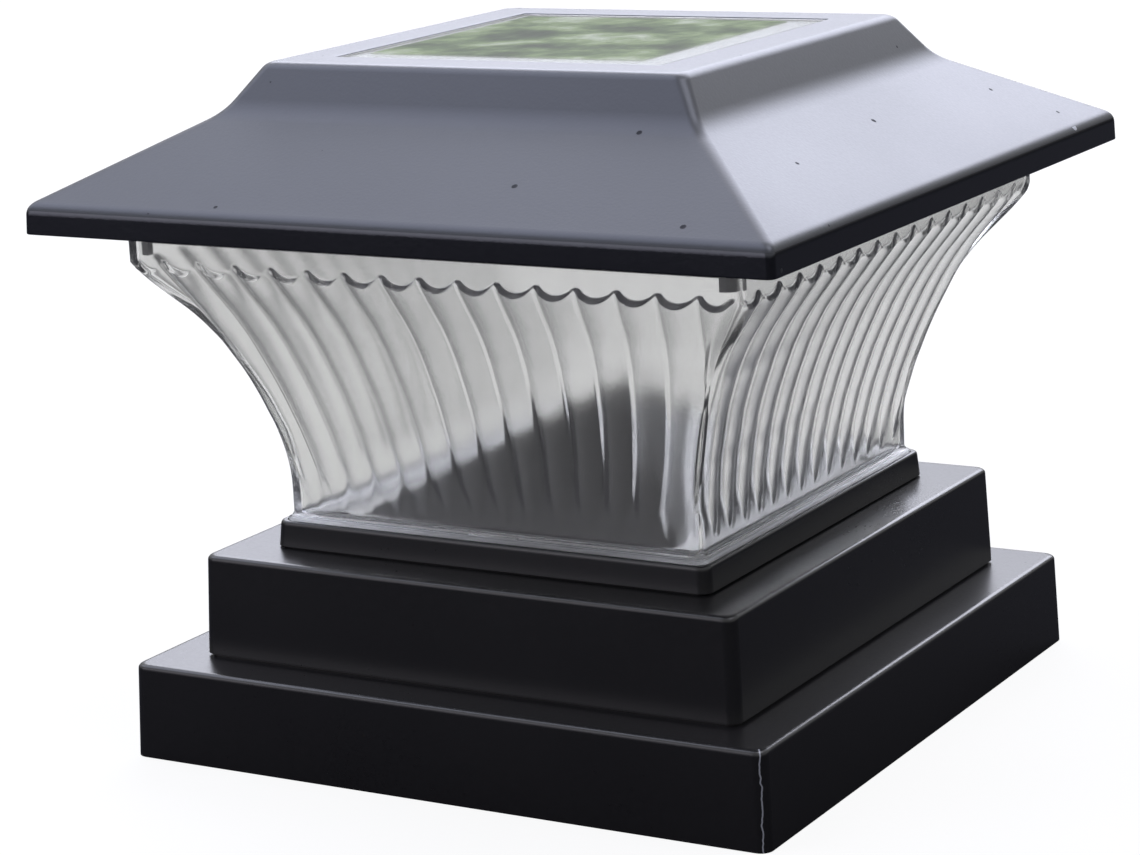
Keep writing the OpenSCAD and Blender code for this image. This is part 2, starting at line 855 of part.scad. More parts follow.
module rim_gasket() {
    color([0.3, 0.3, 0.3])
        difference() {
            square_plate(rim_half, 1, rim_z, gasket_t);
            square_plate(rim_half - lens_wall + 0.1, 1.6, rim_z - 1, gasket_t + 2);
        }
}

module tray_screws() {
    color([0.6, 0.6, 0.62])
        at_corners(roof_boss_c)
            translate([0, 0, tray_z]) screw(tray_t + 4);
}

// ---- Control board ----

module circuit_board() {
    color([0.1, 0.36, 0.2])
        difference() {
            translate([-board[0] / 2, board_y - board[1] / 2, board_z]) cube(board);
            at_board_holes()
                translate([0, 0, board_z - 1])
                    cylinder(h = board[2] + 2, r = screw_hole_r);
        }
}

module controller_chip() {
    color([0.08, 0.08, 0.08])
        translate([-2.5, board_y - 3, board_top]) cube([5, 6, 1.6]);
}

module inductor() {
    color([0.25, 0.25, 0.27])
        translate([12, board_y, board_top]) {
            cylinder(h = 0.8, r = 3.4);
            cylinder(h = 4.6, r = 2.2);
            translate([0, 0, 0.8]) cylinder(h = 3, r = 2.9);
            translate([0, 0, 3.8]) cylinder(h = 0.8, r = 3.4);
        }
}

module board_screws() {
    color([0.6, 0.6, 0.62])
        at_board_holes()
            translate([0, 0, board_top])
                mirror([0, 0, 1])
                    screw(board[2] + board_lift - 0.6);
}

// ---- Lamps ----

module led_board() {
    color([0.9, 0.9, 0.88])
        translate([0, 0, tray_z - lamp_board_t])
            cylinder(h = lamp_board_t, r = lamp_r, $fn = 64);
}

module leds() {
    color([0.98, 0.9, 0.55])
        for (k = [0:lamps - 1])
            rotate([0, 0, 360 * k / lamps])
                translate([lamp_ring - lamp_size / 2, -lamp_size / 2, tray_z - lamp_board_t - lamp_t])
                    cube([lamp_size, lamp_size, lamp_t]);
}

module led_cover() {
    floor_h = 1.4;
    color([0.92, 0.92, 0.9, 0.6])
        difference() {
            union() {
                translate([0, 0, tray_z - cup_h])
                    cylinder(h = cup_h, r = cup_out, $fn = 64);
                at_cup_ears()
                    translate([0, 0, tray_z - cup_ear_t])
                        cylinder(h = cup_ear_t, r = cup_ear_r);
                for (a = cup_ears)
                    rotate([0, 0, a])
                        translate([0, -cup_ear_r, tray_z - cup_ear_t])
                            cube([cup_ear_c, 2 * cup_ear_r, cup_ear_t]);
            }
            translate([0, 0, tray_z - cup_h + floor_h])
                cylinder(h = cup_h, r = cup_in, $fn = 64);
            at_cup_ears()
                translate([0, 0, tray_z - cup_h])
                    cylinder(h = cup_h + 1, r = screw_hole_r);
        }
}

module cover_screws() {
    color([0.6, 0.6, 0.62])
        at_cup_ears()
            translate([0, 0, tray_z - cup_ear_t])
                screw(cup_ear_t + tray_t + cup_boss_h - 1.4, head_r = 2.2);
}

// ---- Battery ----

module battery_case() {
    slot_y = tag_w / 2 + slot_gap;
    color([0.16, 0.16, 0.17])
        difference() {
            union() {
                translate([0, case_y, 0])
                    box(case_out_x, case_out_y, tray_top, case_top);
                at_case_ears()
                    translate([0, 0, tray_top])
                        cylinder(h = case_ear_h, r = boss_r);
                translate([0, case_y, 0])
                    box(case_ear_x, boss_r * 0.8, tray_top, tray_top + case_ear_h);
            }
            translate([0, case_y, 0])
                box(case_in_x, case_in_y, tray_top - 1, case_top - case_wall);
            translate([0, case_y, 0])
                box(case_out_x + 1, slot_y, tag_z - contact_t / 2 - slot_gap, tag_z + contact_t / 2 + slot_gap);
            at_case_ears()
                translate([0, 0, tray_top - 1])
                    cylinder(h = case_ear_h, r = pilot_r);
        }
}

module case_screws() {
    color([0.6, 0.6, 0.62])
        at_case_ears() translate([0, 0, tray_z]) screw(tray_t + case_ear_h - 1.4);
}

button_r = 2.6;
button_h = 1.2;
ring_h = 1;

module battery() {
    color([0.2, 0.45, 0.3])
        translate([cell_x - cell_len / 2 + ring_h, case_y, cell_z])
            rotate([0, 90, 0])
                cylinder(h = cell_len - button_h - 2 * ring_h, r = cell_d / 2, $fn = 48);
}

module battery_ends() {
    rim_r = cell_d / 2 - 0.6;
    color([0.72, 0.72, 0.74]) {
        translate([cell_x - cell_len / 2, case_y, cell_z])
            rotate([0, 90, 0]) cylinder(h = ring_h, r = rim_r, $fn = 48);
        translate([cell_x + cell_len / 2 - button_h - ring_h, case_y, cell_z])
            rotate([0, 90, 0]) {
                cylinder(h = ring_h, r = rim_r, $fn = 48);
                cylinder(h = ring_h + button_h, r = button_r);
            }
    }
}

// A contact against the inside of an end wall, with its tag through the slot; s is the side it stands on
module contact(s) {
    inner = case_in_x - contact_t - 0.1;
    translate([s * (inner + contact_t / 2), case_y, 0])
        box(contact_t / 2, contact_size / 2, cell_z - contact_size / 2, cell_z + contact_size / 2);
    translate([s * (inner + tag_x) / 2, case_y, 0])
        box((tag_x - inner) / 2, tag_w / 2, tag_z - contact_t / 2, tag_z + contact_t / 2);
}

module battery_plate() {
    color([0.75, 0.75, 0.72])
        contact(1);
}

spring_turns = 3;
spring_wire_r = 0.4;
spring_wide = 4.4;
spring_narrow = 2.6;
spring_points = 12;

module battery_spring() {
    from = -case_in_x + contact_t + 0.1;
    to = cell_x - cell_len / 2 - 0.1 - spring_wire_r;
    count = spring_turns * spring_points;
    path = [
        for (k = [0:count])
            let (t = k / count, a = 360 * spring_turns * t, r = spring_wide + (spring_narrow - spring_wide) * t)
                [from + (to - from) * t, case_y + r * cos(a), cell_z + r * sin(a)]
    ];
    color([0.75, 0.75, 0.72]) {
        contact(-1);
        tube(path, [0, 0, 1], [0, 0, 1], spring_wire_r, 6, [1, 0, 0]);
    }
}

module battery_door() {
    plug_z = tray_top - 0.1;
    slab_top = tray_z - door_gap;
    slab_far = window_y + door_lap;
    slab_near = window_y + door_near_lap;
    web_y = hinge_y - case_y - slab_near + 1;
    color([0.14, 0.14, 0.15])
        difference() {
            union() {
                translate([-window_x - door_lap + 0.4, case_y - slab_far, slab_top - door_t])
                    cube([2 * (window_x + door_lap - 0.4), slab_far + slab_near, door_t]);
                translate([-window_x + door_side_gap, case_y - window_y + door_far_gap, slab_top - eps])
                    cube([2 * (window_x - door_side_gap), 2 * window_y - door_far_gap - door_side_gap, plug_z - slab_top + eps]);
                translate([-hinge_w / 2, case_y + slab_near - 1, slab_top - door_t])
                    cube([hinge_w, web_y, door_t]);
                translate([-hinge_w / 2, hinge_y, hinge_z])
                    rotate([0, 90, 0])
                        cylinder(h = hinge_w, r = hinge_r);
                translate([-hinge_w / 2 - hinge_ear_w, hinge_y, hinge_z])
                    rotate([0, 90, 0])
                        cylinder(h = hinge_w + 2 * hinge_ear_w, r = hinge_pin_r);
            }
            translate([0, case_y - slab_far, slab_top - door_t - 1])
                cylinder(h = 1.6, r = 5);
        }
}

// ---- Switch ----

module switch_body() {
    slot_x = knob[0] / 2 + switch_travel / 2 + switch_gap;
    room_x = slider_plate[0] / 2 + switch_travel / 2 + switch_gap;
    color([0.7, 0.7, 0.72])
        difference() {
            union() {
                translate([switch_x, 0, 0])
                    box(switch_body[0] / 2, switch_body[1] / 2, tray_top, tray_top + switch_body[2]);
                translate([switch_x, 0, 0])
                    box(switch_ear_x, boss_r, tray_top, tray_top + switch_ear_t);
                at_switch_ears()
                    translate([0, 0, tray_top])
                        cylinder(h = switch_ear_t, r = boss_r);
                for (dx = [-pin_x, 0, pin_x])
                    translate([switch_x + dx, 0, tray_top])
                        cylinder(h = switch_body[2] + pin_h, r = pin_r);
            }
            translate([switch_x, 0, 0])
                box(room_x, slider_plate[1] / 2 + switch_gap, tray_top + switch_wall, tray_top + switch_wall + slider_plate[2] + 2 * switch_gap);
            translate([switch_x, 0, 0])
                box(slot_x, knob[1] / 2 + switch_gap, tray_top - 1, tray_top + switch_wall + 1);
            at_switch_ears()
                translate([0, 0, tray_top - 1])
                    cylinder(h = switch_ear_t + 2, r = screw_hole_r);
        }
}

module switch_slider() {
    plate_z = tray_top + switch_wall + switch_gap;
    off_x = switch_x - switch_travel / 2;
    color([0.15, 0.15, 0.15])
        difference() {
            union() {
                translate([off_x, 0, 0])
                    box(slider_plate[0] / 2, slider_plate[1] / 2, plate_z, plate_z + slider_plate[2]);
                translate([off_x, 0, 0])
                    box(knob[0] / 2, knob[1] / 2, tray_z - knob[2], plate_z + eps);
            }
            for (dx = [-1.5, 0, 1.5])
                translate([off_x + dx, 0, 0])
                    box(0.3, knob[1], tray_z - knob[2] - 1, tray_z - knob[2] + 0.4);
        }
}

module switch_screws() {
    color([0.6, 0.6, 0.62])
        at_switch_ears()
            translate([0, 0, tray_top + switch_ear_t])
                mirror([0, 0, 1])
                    screw(switch_ear_t + tray_t + switch_boss_h - 1.2, head_r = 2);
}

// ---- Leads ----

module panel_lead_red() { color([0.75, 0.1, 0.1]) lead(panel_red_route); }
module panel_lead_black() { color([0.08, 0.08, 0.08]) lead(panel_black_route); }
module battery_lead_red() { color([0.75, 0.1, 0.1]) lead(battery_red_route); }
module battery_lead_black() { color([0.08, 0.08, 0.08]) lead(battery_black_route); }
module lamp_lead_red() { color([0.75, 0.1, 0.1]) lead(lamp_red_route); }
module lamp_lead_black() { color([0.08, 0.08, 0.08]) lead(lamp_black_route); }
module switch_leads() { color([0.85, 0.85, 0.85]) for (p = switch_routes) lead(p); }

roof_shell();
panel_glass();
solar_cells();
panel_backing();
panel_tape();
soffit_tray();
rim_gasket();
tray_screws();
circuit_board();
controller_chip();
inductor();
board_screws();
led_board();
leds();
led_cover();
cover_screws();
battery_case();
case_screws();
battery();
battery_ends();
battery_spring();
battery_plate();
battery_door();
switch_body();
switch_slider();
switch_screws();
panel_lead_red();
panel_lead_black();
battery_lead_red();
battery_lead_black();
lamp_lead_red();
lamp_lead_black();
switch_leads();
lens();
base_cap_4in();
adapter_5in();
adapter_6in();
adapter_screws();
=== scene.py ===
"""A deck post cap light in a plain studio: moulded black plastic, a clear fluted lens and a solar panel.

Lengths are written in millimetres, as a maker would, and turned into metres where a mesh is made. The
shaders, the studio and the camera work in metres. A half is half the side of a square, so it is also the
distance from the middle to a face.
"""

import math

import bpy
import numpy as np
from mathutils import Matrix, Vector


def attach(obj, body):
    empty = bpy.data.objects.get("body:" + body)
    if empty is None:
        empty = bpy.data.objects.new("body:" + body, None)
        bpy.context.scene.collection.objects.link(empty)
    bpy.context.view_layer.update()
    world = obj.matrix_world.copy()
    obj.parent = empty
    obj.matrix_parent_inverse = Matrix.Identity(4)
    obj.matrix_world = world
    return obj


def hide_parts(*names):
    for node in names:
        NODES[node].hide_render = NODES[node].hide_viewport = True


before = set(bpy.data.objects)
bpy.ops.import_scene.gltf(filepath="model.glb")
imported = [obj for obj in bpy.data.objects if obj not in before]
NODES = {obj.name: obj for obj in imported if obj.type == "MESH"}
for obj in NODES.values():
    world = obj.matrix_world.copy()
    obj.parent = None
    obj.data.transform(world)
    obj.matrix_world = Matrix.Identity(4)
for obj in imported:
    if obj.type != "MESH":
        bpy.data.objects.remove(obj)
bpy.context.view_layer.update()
MM = 0.001


# ---- Shapes: parts are (points, quads, triangles), with the points in millimetres ----

NO_TRIANGLES = np.zeros((0, 3), dtype=int)
CORNERS = [(sx, sy) for sx in (-1, 1) for sy in (-1, 1)]
QUARTER_TURNS = [(1, 0), (0, 1), (-1, 0), (0, -1)]  # the cosine and sine of each
CREASE = 0.04  # the rounding of a turn that is sharp
CURVE_SHARE, GUARD_SHARE = 0.48, 0.49  # the most of a side that a turn's curve and its guard point take


def put_parts(name, parts, smooth=True):
    """A mesh object from (points, quads, triangles) parts, each counted from its own start."""
    points, faces, start = [], [], 0
    for part_points, quads, triangles in parts:
        points.append(np.asarray(part_points, dtype=float))
        faces += (quads + start).tolist() + (triangles + start).tolist()
        start += len(part_points)
    mesh = bpy.data.meshes.new(name)
    mesh.from_pydata((np.concatenate(points) * MM).tolist(), [], faces)
    mesh.polygons.foreach_set("use_smooth", np.full(len(mesh.polygons), smooth))
    mesh.update()
    piece = bpy.data.objects.new(name, mesh)
    bpy.context.scene.collection.objects.link(piece)
    return piece


def grid_quads(rows, columns, wrap_rows=False):
    """Faces between neighbouring points of a grid that is stored row after row, each row a closed ring.

    With the rows going up the outside and the columns going anticlockwise, the faces point outwards.
    """
    r, c = np.meshgrid(np.arange(rows if wrap_rows else rows - 1), np.arange(columns), indexing="ij")
    r1, c1 = (r + 1) % rows, (c + 1) % columns
    quads = np.stack([r * columns + c, r * columns + c1, r1 * columns + c1, r1 * columns + c], axis=-1)
    return quads.reshape(-1, 4)


def capped(points, columns, low, high):
    """A closed part from a grid of rings: its first and last rings are each closed by a fan about a point."""
    i = np.arange(columns)
    j = (i + 1) % columns
    last_ring = len(points) - columns
    fans = np.vstack([
        np.column_stack([np.full(columns, len(points)), j, i]),
        np.column_stack([np.full(columns, len(points) + 1), last_ring + i, last_ring + j]),
    ])
    return np.vstack([points, low, high]), grid_quads(len(points) // columns, columns), fans


def eased(profile, steps):
    """A closed profile of (half, height, rounding, corner) rows with each turn rounded.

    A turn becomes a quadratic curve that starts and ends one rounding from the turn, along each side. A
    guard point stands just outside either end, so that the flat beside it shades flat.
    """
    p = np.asarray(profile, dtype=float)
    out = []
    for i, row in enumerate(p):
        turn, (rounding, corner) = row[:2], row[2:]
        a = p[i - 1][:2] - turn
        b = p[(i + 1) % len(p)][:2] - turn
        long_a, long_b = np.linalg.norm(a), np.linalg.norm(b)
        a, b = a / long_a, b / long_b
        r = max(rounding, CREASE)
        r_a, r_b = min(r, long_a * CURVE_SHARE), min(r, long_b * CURVE_SHARE)
        t = np.linspace(0, 1, (steps if rounding > 0 else 1) + 1)[:, None]
        curve = turn + (1 - t) ** 2 * a * r_a + t ** 2 * b * r_b
        guard_a = turn + a * min(r_a + 2 * CREASE, long_a * GUARD_SHARE)
        guard_b = turn + b * min(r_b + 2 * CREASE, long_b * GUARD_SHARE)
        rows = np.vstack([guard_a, curve, guard_b])
        out.append(np.column_stack([rows, np.full(len(rows), corner)]))
    return np.vstack(out)


def square_grid(rows, arc, side):
    """Points of rounded squares, one for each (half, height, corner) row, anticlockwise from above.

    Each corner is an arc with a guard point just before and after it, and each side has evenly spaced
    points between two corners.
    """
    half, height = rows[:, 0:1], rows[:, 1:2]
    r = np.minimum(rows[:, 2:3], half * 0.95)
    angle = np.radians(np.linspace(0, 90, arc + 1))[None, :]
    t = np.linspace(0, 1, side + 1)[1:-1][None, :]
    guard = half - r - CREASE * 2
    x = np.concatenate([half, half - r + r * np.cos(angle), guard, guard * (1 - 2 * t)], axis=1)
    y = np.concatenate([guard, half - r + r * np.sin(angle), half, half + 0 * t], axis=1)
    xs = np.concatenate([x, -y, -x, y], axis=1)
    ys = np.concatenate([y, x, -y, -x], axis=1)
    return np.stack([xs, ys, height + 0 * xs], axis=-1)


def closed_shell(profile, steps=6, arc=6, side=10):
    """A square ring whose cross-section is a closed profile, carried round the four sides."""
    points = square_grid(eased(profile, steps), arc, side)
    return points.reshape(-1, 3), grid_quads(*points.shape[:2], wrap_rows=True), NO_TRIANGLES


def turned(profile, centre, sides):
    """A solid of revolution about an upright axis.

    Its (radius, height, rounding) rows go from the axis at the foot, out, and back to the axis.
    """
    rows = eased([(r, z, rounding, 0) for r, z, rounding in profile], 4)[:, :2]
    rows = rows[rows[:, 0] > CREASE]
    angle = np.linspace(0, 2 * np.pi, sides, endpoint=False)
    x = centre[0] + rows[:, 0:1] * np.cos(angle)
    y = centre[1] + rows[:, 0:1] * np.sin(angle)
    points = np.stack([x, y, rows[:, 1:2] + 0 * x], axis=-1).reshape(-1, 3)
    return capped(points, sides, (*centre, rows[0, 1]), (*centre, rows[-1, 1]))


def tube(path, radius, sides, start=(1.0, 0.3, 0.2)):
    """A round tube along a path: circles square to it, turned as little as possible from one to the next.

    Start is the direction that the first circle is counted from, as far as it is square to the path.
    """
    tangent = np.gradient(path, axis=0)
    tangent /= np.linalg.norm(tangent, axis=1)[:, None]
    normal = np.zeros_like(path)
    carried = np.asarray(start, dtype=float)
    for i, t in enumerate(tangent):
        carried = carried - np.dot(carried, t) * t
        carried = carried / np.linalg.norm(carried)
        normal[i] = carried
    other = np.cross(tangent, normal)
    angle = np.linspace(0, 2 * np.pi, sides, endpoint=False)[None, :, None]
    circles = np.cos(angle) * normal[:, None, :] + np.sin(angle) * other[:, None, :]
    points = path[:, None, :] + radius * circles
    return capped(points.reshape(-1, 3), sides, path[0], path[-1])


def slab(x0, x1, y0, y1, z0, z1):
    """A box with eased edges: a rounded square carried up, stretched to its length and width."""
    edge, half = 0.15, 0.5
    rows = eased([(half, z0, edge, 0), (half, z1, edge, 0), (0.0, z1, 0, 0), (0.0, z0, 0, 0)], 3)
    rows = rows[rows[:, 0] > CREASE / 2]
    middle = (x0 + x1) / 2, (y0 + y1) / 2
    sx, sy = (x1 - x0) / 2, (y1 - y0) / 2
    r = min(edge, sx * 0.9, sy * 0.9)
    angle = np.radians(np.concatenate([np.linspace(q * 90, q * 90 + 90, 4) for q in range(4)]))
    quarter = np.repeat(np.arange(4), 4)
    cx = np.where((quarter == 0) | (quarter == 3), 1, -1) * (sx - r)
    cy = np.where(quarter < 2, 1, -1) * (sy - r)
    reach = r - np.minimum(half - rows[:, 0:1], r)
    x = middle[0] + cx + reach * np.cos(angle)
    y = middle[1] + cy + reach * np.sin(angle)
    points = np.stack([x, y, rows[:, 1:2] + 0 * x], axis=-1).reshape(-1, 3)
    return capped(points, len(angle), (*middle, rows[0, 1]), (*middle, rows[-1, 1]))


def smooth_path(points):
    """A curve through the points, with its slope at each taken from its two neighbours."""
    steps = 12
    p = np.asarray(points, dtype=float)
    ends = np.vstack([p[0], p, p[-1]])
    t = np.linspace(0, 1, steps, endpoint=False)[None, :, None]
    a, b, c, d = ends[:-3, None], ends[1:-2, None], ends[2:-1, None], ends[3:, None]
    curve = 0.5 * (2 * b + (c - a) * t + (2 * a - 5 * b + 4 * c - d) * t ** 2
                   + (3 * b - a - 3 * c + d) * t ** 3)
    return np.vstack([curve.reshape(-1, 3), p[-1]])


def cut_holes(piece, holes):
    """Cuts round holes: (x, y, low, high, radius at low, radius at high) rows."""
    cutters = put_parts("cutters", [
        turned([(0, z0, 0), (r0, z0, 0), (r1, z1, 0), (0, z1, 0)], (x, y), 40)
        for x, y, z0, z1, r0, r1 in holes
    ], smooth=False)
    cut = piece.modifiers.new("holes", "BOOLEAN")
    cut.object = cutters
    cut.operation = "DIFFERENCE"
    cut.solver = "EXACT"
    bpy.context.view_layer.update()
    mesh = bpy.data.meshes.new_from_object(piece.evaluated_get(bpy.context.evaluated_depsgraph_get()))
    mesh.name = piece.name
    mesh.set_sharp_from_angle(angle=math.radians(35))
    piece.modifiers.clear()
    piece.data = mesh
    bpy.data.objects.remove(cutters)
    return piece


def four(c, low, high, r_low, r_high=None):
    """Four equal holes at the corners of a square, c from its middle lines."""
    return [(sx * c, sy * c, low, high, r_low, r_high or r_low) for sx, sy in CORNERS]


# ---- Sizes, which follow part.scad ----

LARGE_HALF, MIDDLE_HALF, BAND_HALF, SKIRT_HALF = 79.0, 66.9, 54.5, 53.3
LARGE_IN, MIDDLE_IN, SMALL_IN = 76.7, 64.0, 51.3
LARGE_Z, BAND_Z, CAP_Z, FLOOR_Z = 21.35, 44.45, 50.55, 50.05
PLATE, PLATE_OPENING, SKIRT_DROP, SKIRT_SEAT = 2.5, 42.0, 20.4, 53.6
DRAFT, SEAM_IN, MIDDLE_SEAM, BAND_SEAM = 0.8, 0.8, 0.6, 0.36
PYRAMID_HALF, PYRAMID_IN, PYRAMID_H, CAP_FLOOR = 40.0, 36.4, 25, 2
ADAPTER_SCREW, PLATE_SCREW, CAP_SCREW = 61, 47.5, 43.5
POST_SCREW_HOLE, SCREW_HOLE, PILOT_HOLE, ADAPTER_BOSS = 2.25, 1.6, 1.25, 3.2
COUNTERSINK_LOW, COUNTERSINK_HIGH = 3.2, 1.5
RIM_Z, SCALLOP_Z, PLAIN_Z, FOOT_TOP = 121.4, 112.3, 57.0, 51.25
RIM_HALF, LENS_FOOT, LENS_WALL, FLUTES = 74.6, 51.7, 1.8, 16
ROOF_HALF, STEP_HALF, TOP_HALF = 89.75, 58.4, 51.4
EAVE_Z, FASCIA_Z, STEP_Z, TOP_Z, ROOF_WALL = 119.7, 125.6, 142.6, 152.7, 2.2
POCKET_HALF, POCKET_Z, BACKING_Z = 40.0, 149.3, 150.1
LEAD_HOLE, LEAD_HOLE_R = (-20, 0), 4
TRAY_TOP, TRAY_SCREW, TRAY_BOSS, TRAY_BOSS_TOP = 123.8, 77.25, 2.8, 129.5
BOARD_TOP, LAMP_BOARD_Z, LEAD_R = 129.4, 122, 0.75
CELL_Y, CELL_Z, TAG_X, TAG_Z = 42.0, 131.3, 31.6, 135.3
SWITCH_H, SWITCH_PIN = 5.4, 1.2
SWITCH_PIN_TOP = TRAY_TOP + SWITCH_H + SWITCH_PIN


# ---- Materials ----

def group(name, inputs, outputs):
    """A shader node group with number inputs {name: value} and number outputs, and its two ends' sockets."""
    tree = bpy.data.node_groups.new(name, "ShaderNodeTree")
    for key, value in inputs.items():
        socket = tree.interface.new_socket(key, in_out="INPUT", socket_type="NodeSocketFloat")
        socket.default_value = value
    for key in outputs:
        tree.interface.new_socket(key, in_out="OUTPUT", socket_type="NodeSocketFloat")
    return tree, tree.nodes.new("NodeGroupInput").outputs, tree.nodes.new("NodeGroupOutput").inputs


def node(tree, kind, links=None, **settings):
    """A node with its settings made, and each socket named in links joined to a socket or set to a value."""
    n = tree.nodes.new(kind)
    for key, value in settings.items():
        setattr(n, key, value)
    for key, value in (links or {}).items():
        if isinstance(value, bpy.types.NodeSocket):
            tree.links.new(value, n.inputs[key])
        else:
            n.inputs[key].default_value = value
    return n


def calc(tree, operation, *values):
    """One step of arithmetic on sockets and numbers."""
    return node(tree, "ShaderNodeMath", dict(enumerate(values)), operation=operation).outputs[0]


def all_of(tree, *masks):
    """1 where every mask is 1: the masks multiplied together."""
    product = masks[0]
    for mask in masks[1:]:
        product = calc(tree, "MULTIPLY", product, mask)
    return product


def blended(tree, share, first, second):
    """Two colours mixed: the share is how much of the second shows."""
    return node(tree, "ShaderNodeMix", {"Factor": share, "A": first, "B": second},
                data_type="RGBA").outputs["Result"]


def mixed(tree, share, first, second):
    """Two shaders mixed: the share is how much of the second shows."""
    return node(tree, "ShaderNodeMixShader", {0: share, 1: first.outputs[0], 2: second.outputs[0]})


def seen_by(tree, *kinds):
    """1 for the kinds of ray named, and 0 for the rest."""
    path = node(tree, "ShaderNodeLightPath")
    value = path.outputs[kinds[0]]
    for kind in kinds[1:]:
        value = calc(tree, "MAXIMUM", value, path.outputs[kind])
    return value


def position(tree):
    """The place of the point shaded, in metres in the object's own frame."""
    return node(tree, "ShaderNodeTexCoord").outputs["Object"]


def xyz(tree):
    """The x, y and z of the point shaded, in metres."""
    split = node(tree, "ShaderNodeSeparateXYZ", {0: position(tree)})
    return [split.outputs[k] for k in "XYZ"]


def noise(tree, scale, detail, **more):
    """Soft noise in space, about 0.5."""
    links = {"Vector": position(tree), "Scale": scale, "Detail": detail, **more}
    return node(tree, "ShaderNodeTexNoise", links).outputs["Fac"]


def random_cells(tree, scale):
    """A random pattern of cells: the distance from the cell's middle, and two random numbers a cell."""
    cells = node(tree, "ShaderNodeTexVoronoi", {"Vector": position(tree), "Scale": scale})
    pick = node(tree, "ShaderNodeSeparateColor", {"Color": cells.outputs["Color"]})
    return cells.outputs["Distance"], pick.outputs[0], pick.outputs[1]


def grain_group():
    """Moulded grain: fine noise as a height, and fine and broad noise together as a small spread of tone."""
    tree, given, made = group("moulded_grain", {"Size": 900.0, "Spread": 0.1}, ["Height", "Tone"])
    fine = noise(tree, given["Size"], 2.0)
    broad = noise(tree, 18.0, 3.0)
    swing = calc(tree, "SUBTRACT", calc(tree, "ADD", fine, broad), 1.0)
    tree.links.new(fine, made["Height"])
    tree.links.new(calc(tree, "MULTIPLY", swing, given["Spread"]), made["Tone"])
    return tree


def speck_group():
    """Scattered specks: 1 at the middles of a few of the cells of a random pattern, and 0 elsewhere."""
    tree, given, made = group("specks", {"Scale": 90.0, "Size": 0.06, "Share": 0.2}, ["Mask"])
    distance, chance, size = random_cells(tree, given["Scale"])
    near = calc(tree, "LESS_THAN", distance, calc(tree, "MULTIPLY", size, given["Size"]))
    few = calc(tree, "LESS_THAN", chance, given["Share"])
    tree.links.new(all_of(tree, near, few), made["Mask"])
    return tree


GRAIN = grain_group()
SPECKS = speck_group()


def use(tree, shared, values):
    """A shared group placed in a material, with its own values."""
    n = tree.nodes.new("ShaderNodeGroup")
    n.node_tree = shared
    for key, value in values.items():
        n.inputs[key].default_value = value
    return n


def blank(name):
    """A new material with only its output, and its node tree."""
    material = bpy.data.materials.new(name)
    material.use_nodes = True
    tree = material.node_tree
    tree.nodes.clear()
    return material, tree, tree.nodes.new("ShaderNodeOutputMaterial")


COAT_ROUGH = 0.22
TONE_TO_ROUGH = 0.6  # how much the uneven tone also changes the gloss
SLEEK_LESS, SPECK_MORE, DULL_MORE = 0.2, 0.5, 0.4  # what each mask takes from the roughness, or adds to it
PALE_MARK = (0.42, 0.43, 0.47, 1)


def plastic(name, color, rough, grain=900.0, bump=0.05, spread=0.1, ior=1.45, specks=None, metallic=0.0,
            coat=0.0, tint=(1, 1, 1, 1), pale_marks=None, polish=None, sleek=None):
    """Moulded plastic, or metal: a colour with a little uneven tone, fine grain in the height, and gloss.

    A speck is dull and stands up a little. Pale marks and polish are masks, made by the functions given:
    where the plastic is marked pale, and where it has a polished skin. Sleek is a mask too, where its grain
    is finer.
    """
    material, tree, out = blank(name)
    shader = node(tree, "ShaderNodeBsdfPrincipled", {
        "IOR": ior, "Metallic": metallic, "Coat Weight": polish(tree) if polish else coat,
        "Specular Tint": tint, "Coat Roughness": COAT_ROUGH,
    })
    texture = use(tree, GRAIN, {"Size": grain, "Spread": spread})
    tone = texture.outputs["Tone"]
    surface = node(tree, "ShaderNodeVectorMath", {0: color, "Scale": calc(tree, "ADD", tone, 1.0)},
                   operation="SCALE").outputs[0]
    gloss = calc(tree, "MULTIPLY_ADD", tone, TONE_TO_ROUGH, rough)
    height = node(tree, "ShaderNodeBump", {"Height": texture.outputs["Height"], "Strength": bump,
                                           "Distance": 0.0002})
    if sleek:
        gloss = calc(tree, "SUBTRACT", gloss, calc(tree, "MULTIPLY", sleek(tree), SLEEK_LESS))
    if specks:
        spots = use(tree, SPECKS, dict(zip(("Scale", "Size", "Share"), specks))).outputs["Mask"]
        gloss = calc(tree, "MULTIPLY_ADD", spots, SPECK_MORE, gloss)
        height = node(tree, "ShaderNodeBump", {"Height": spots, "Strength": 0.9, "Distance": 0.0005,
                                               "Normal": height.outputs[0]})
    if pale_marks:
        surface = blended(tree, pale_marks(tree), surface, PALE_MARK)
    tree.links.new(surface, shader.inputs["Base Color"])
    tree.links.new(gloss, shader.inputs["Roughness"])
    tree.links.new(height.outputs[0], shader.inputs["Normal"])
    tree.links.new(shader.outputs[0], out.inputs["Surface"])
    return material


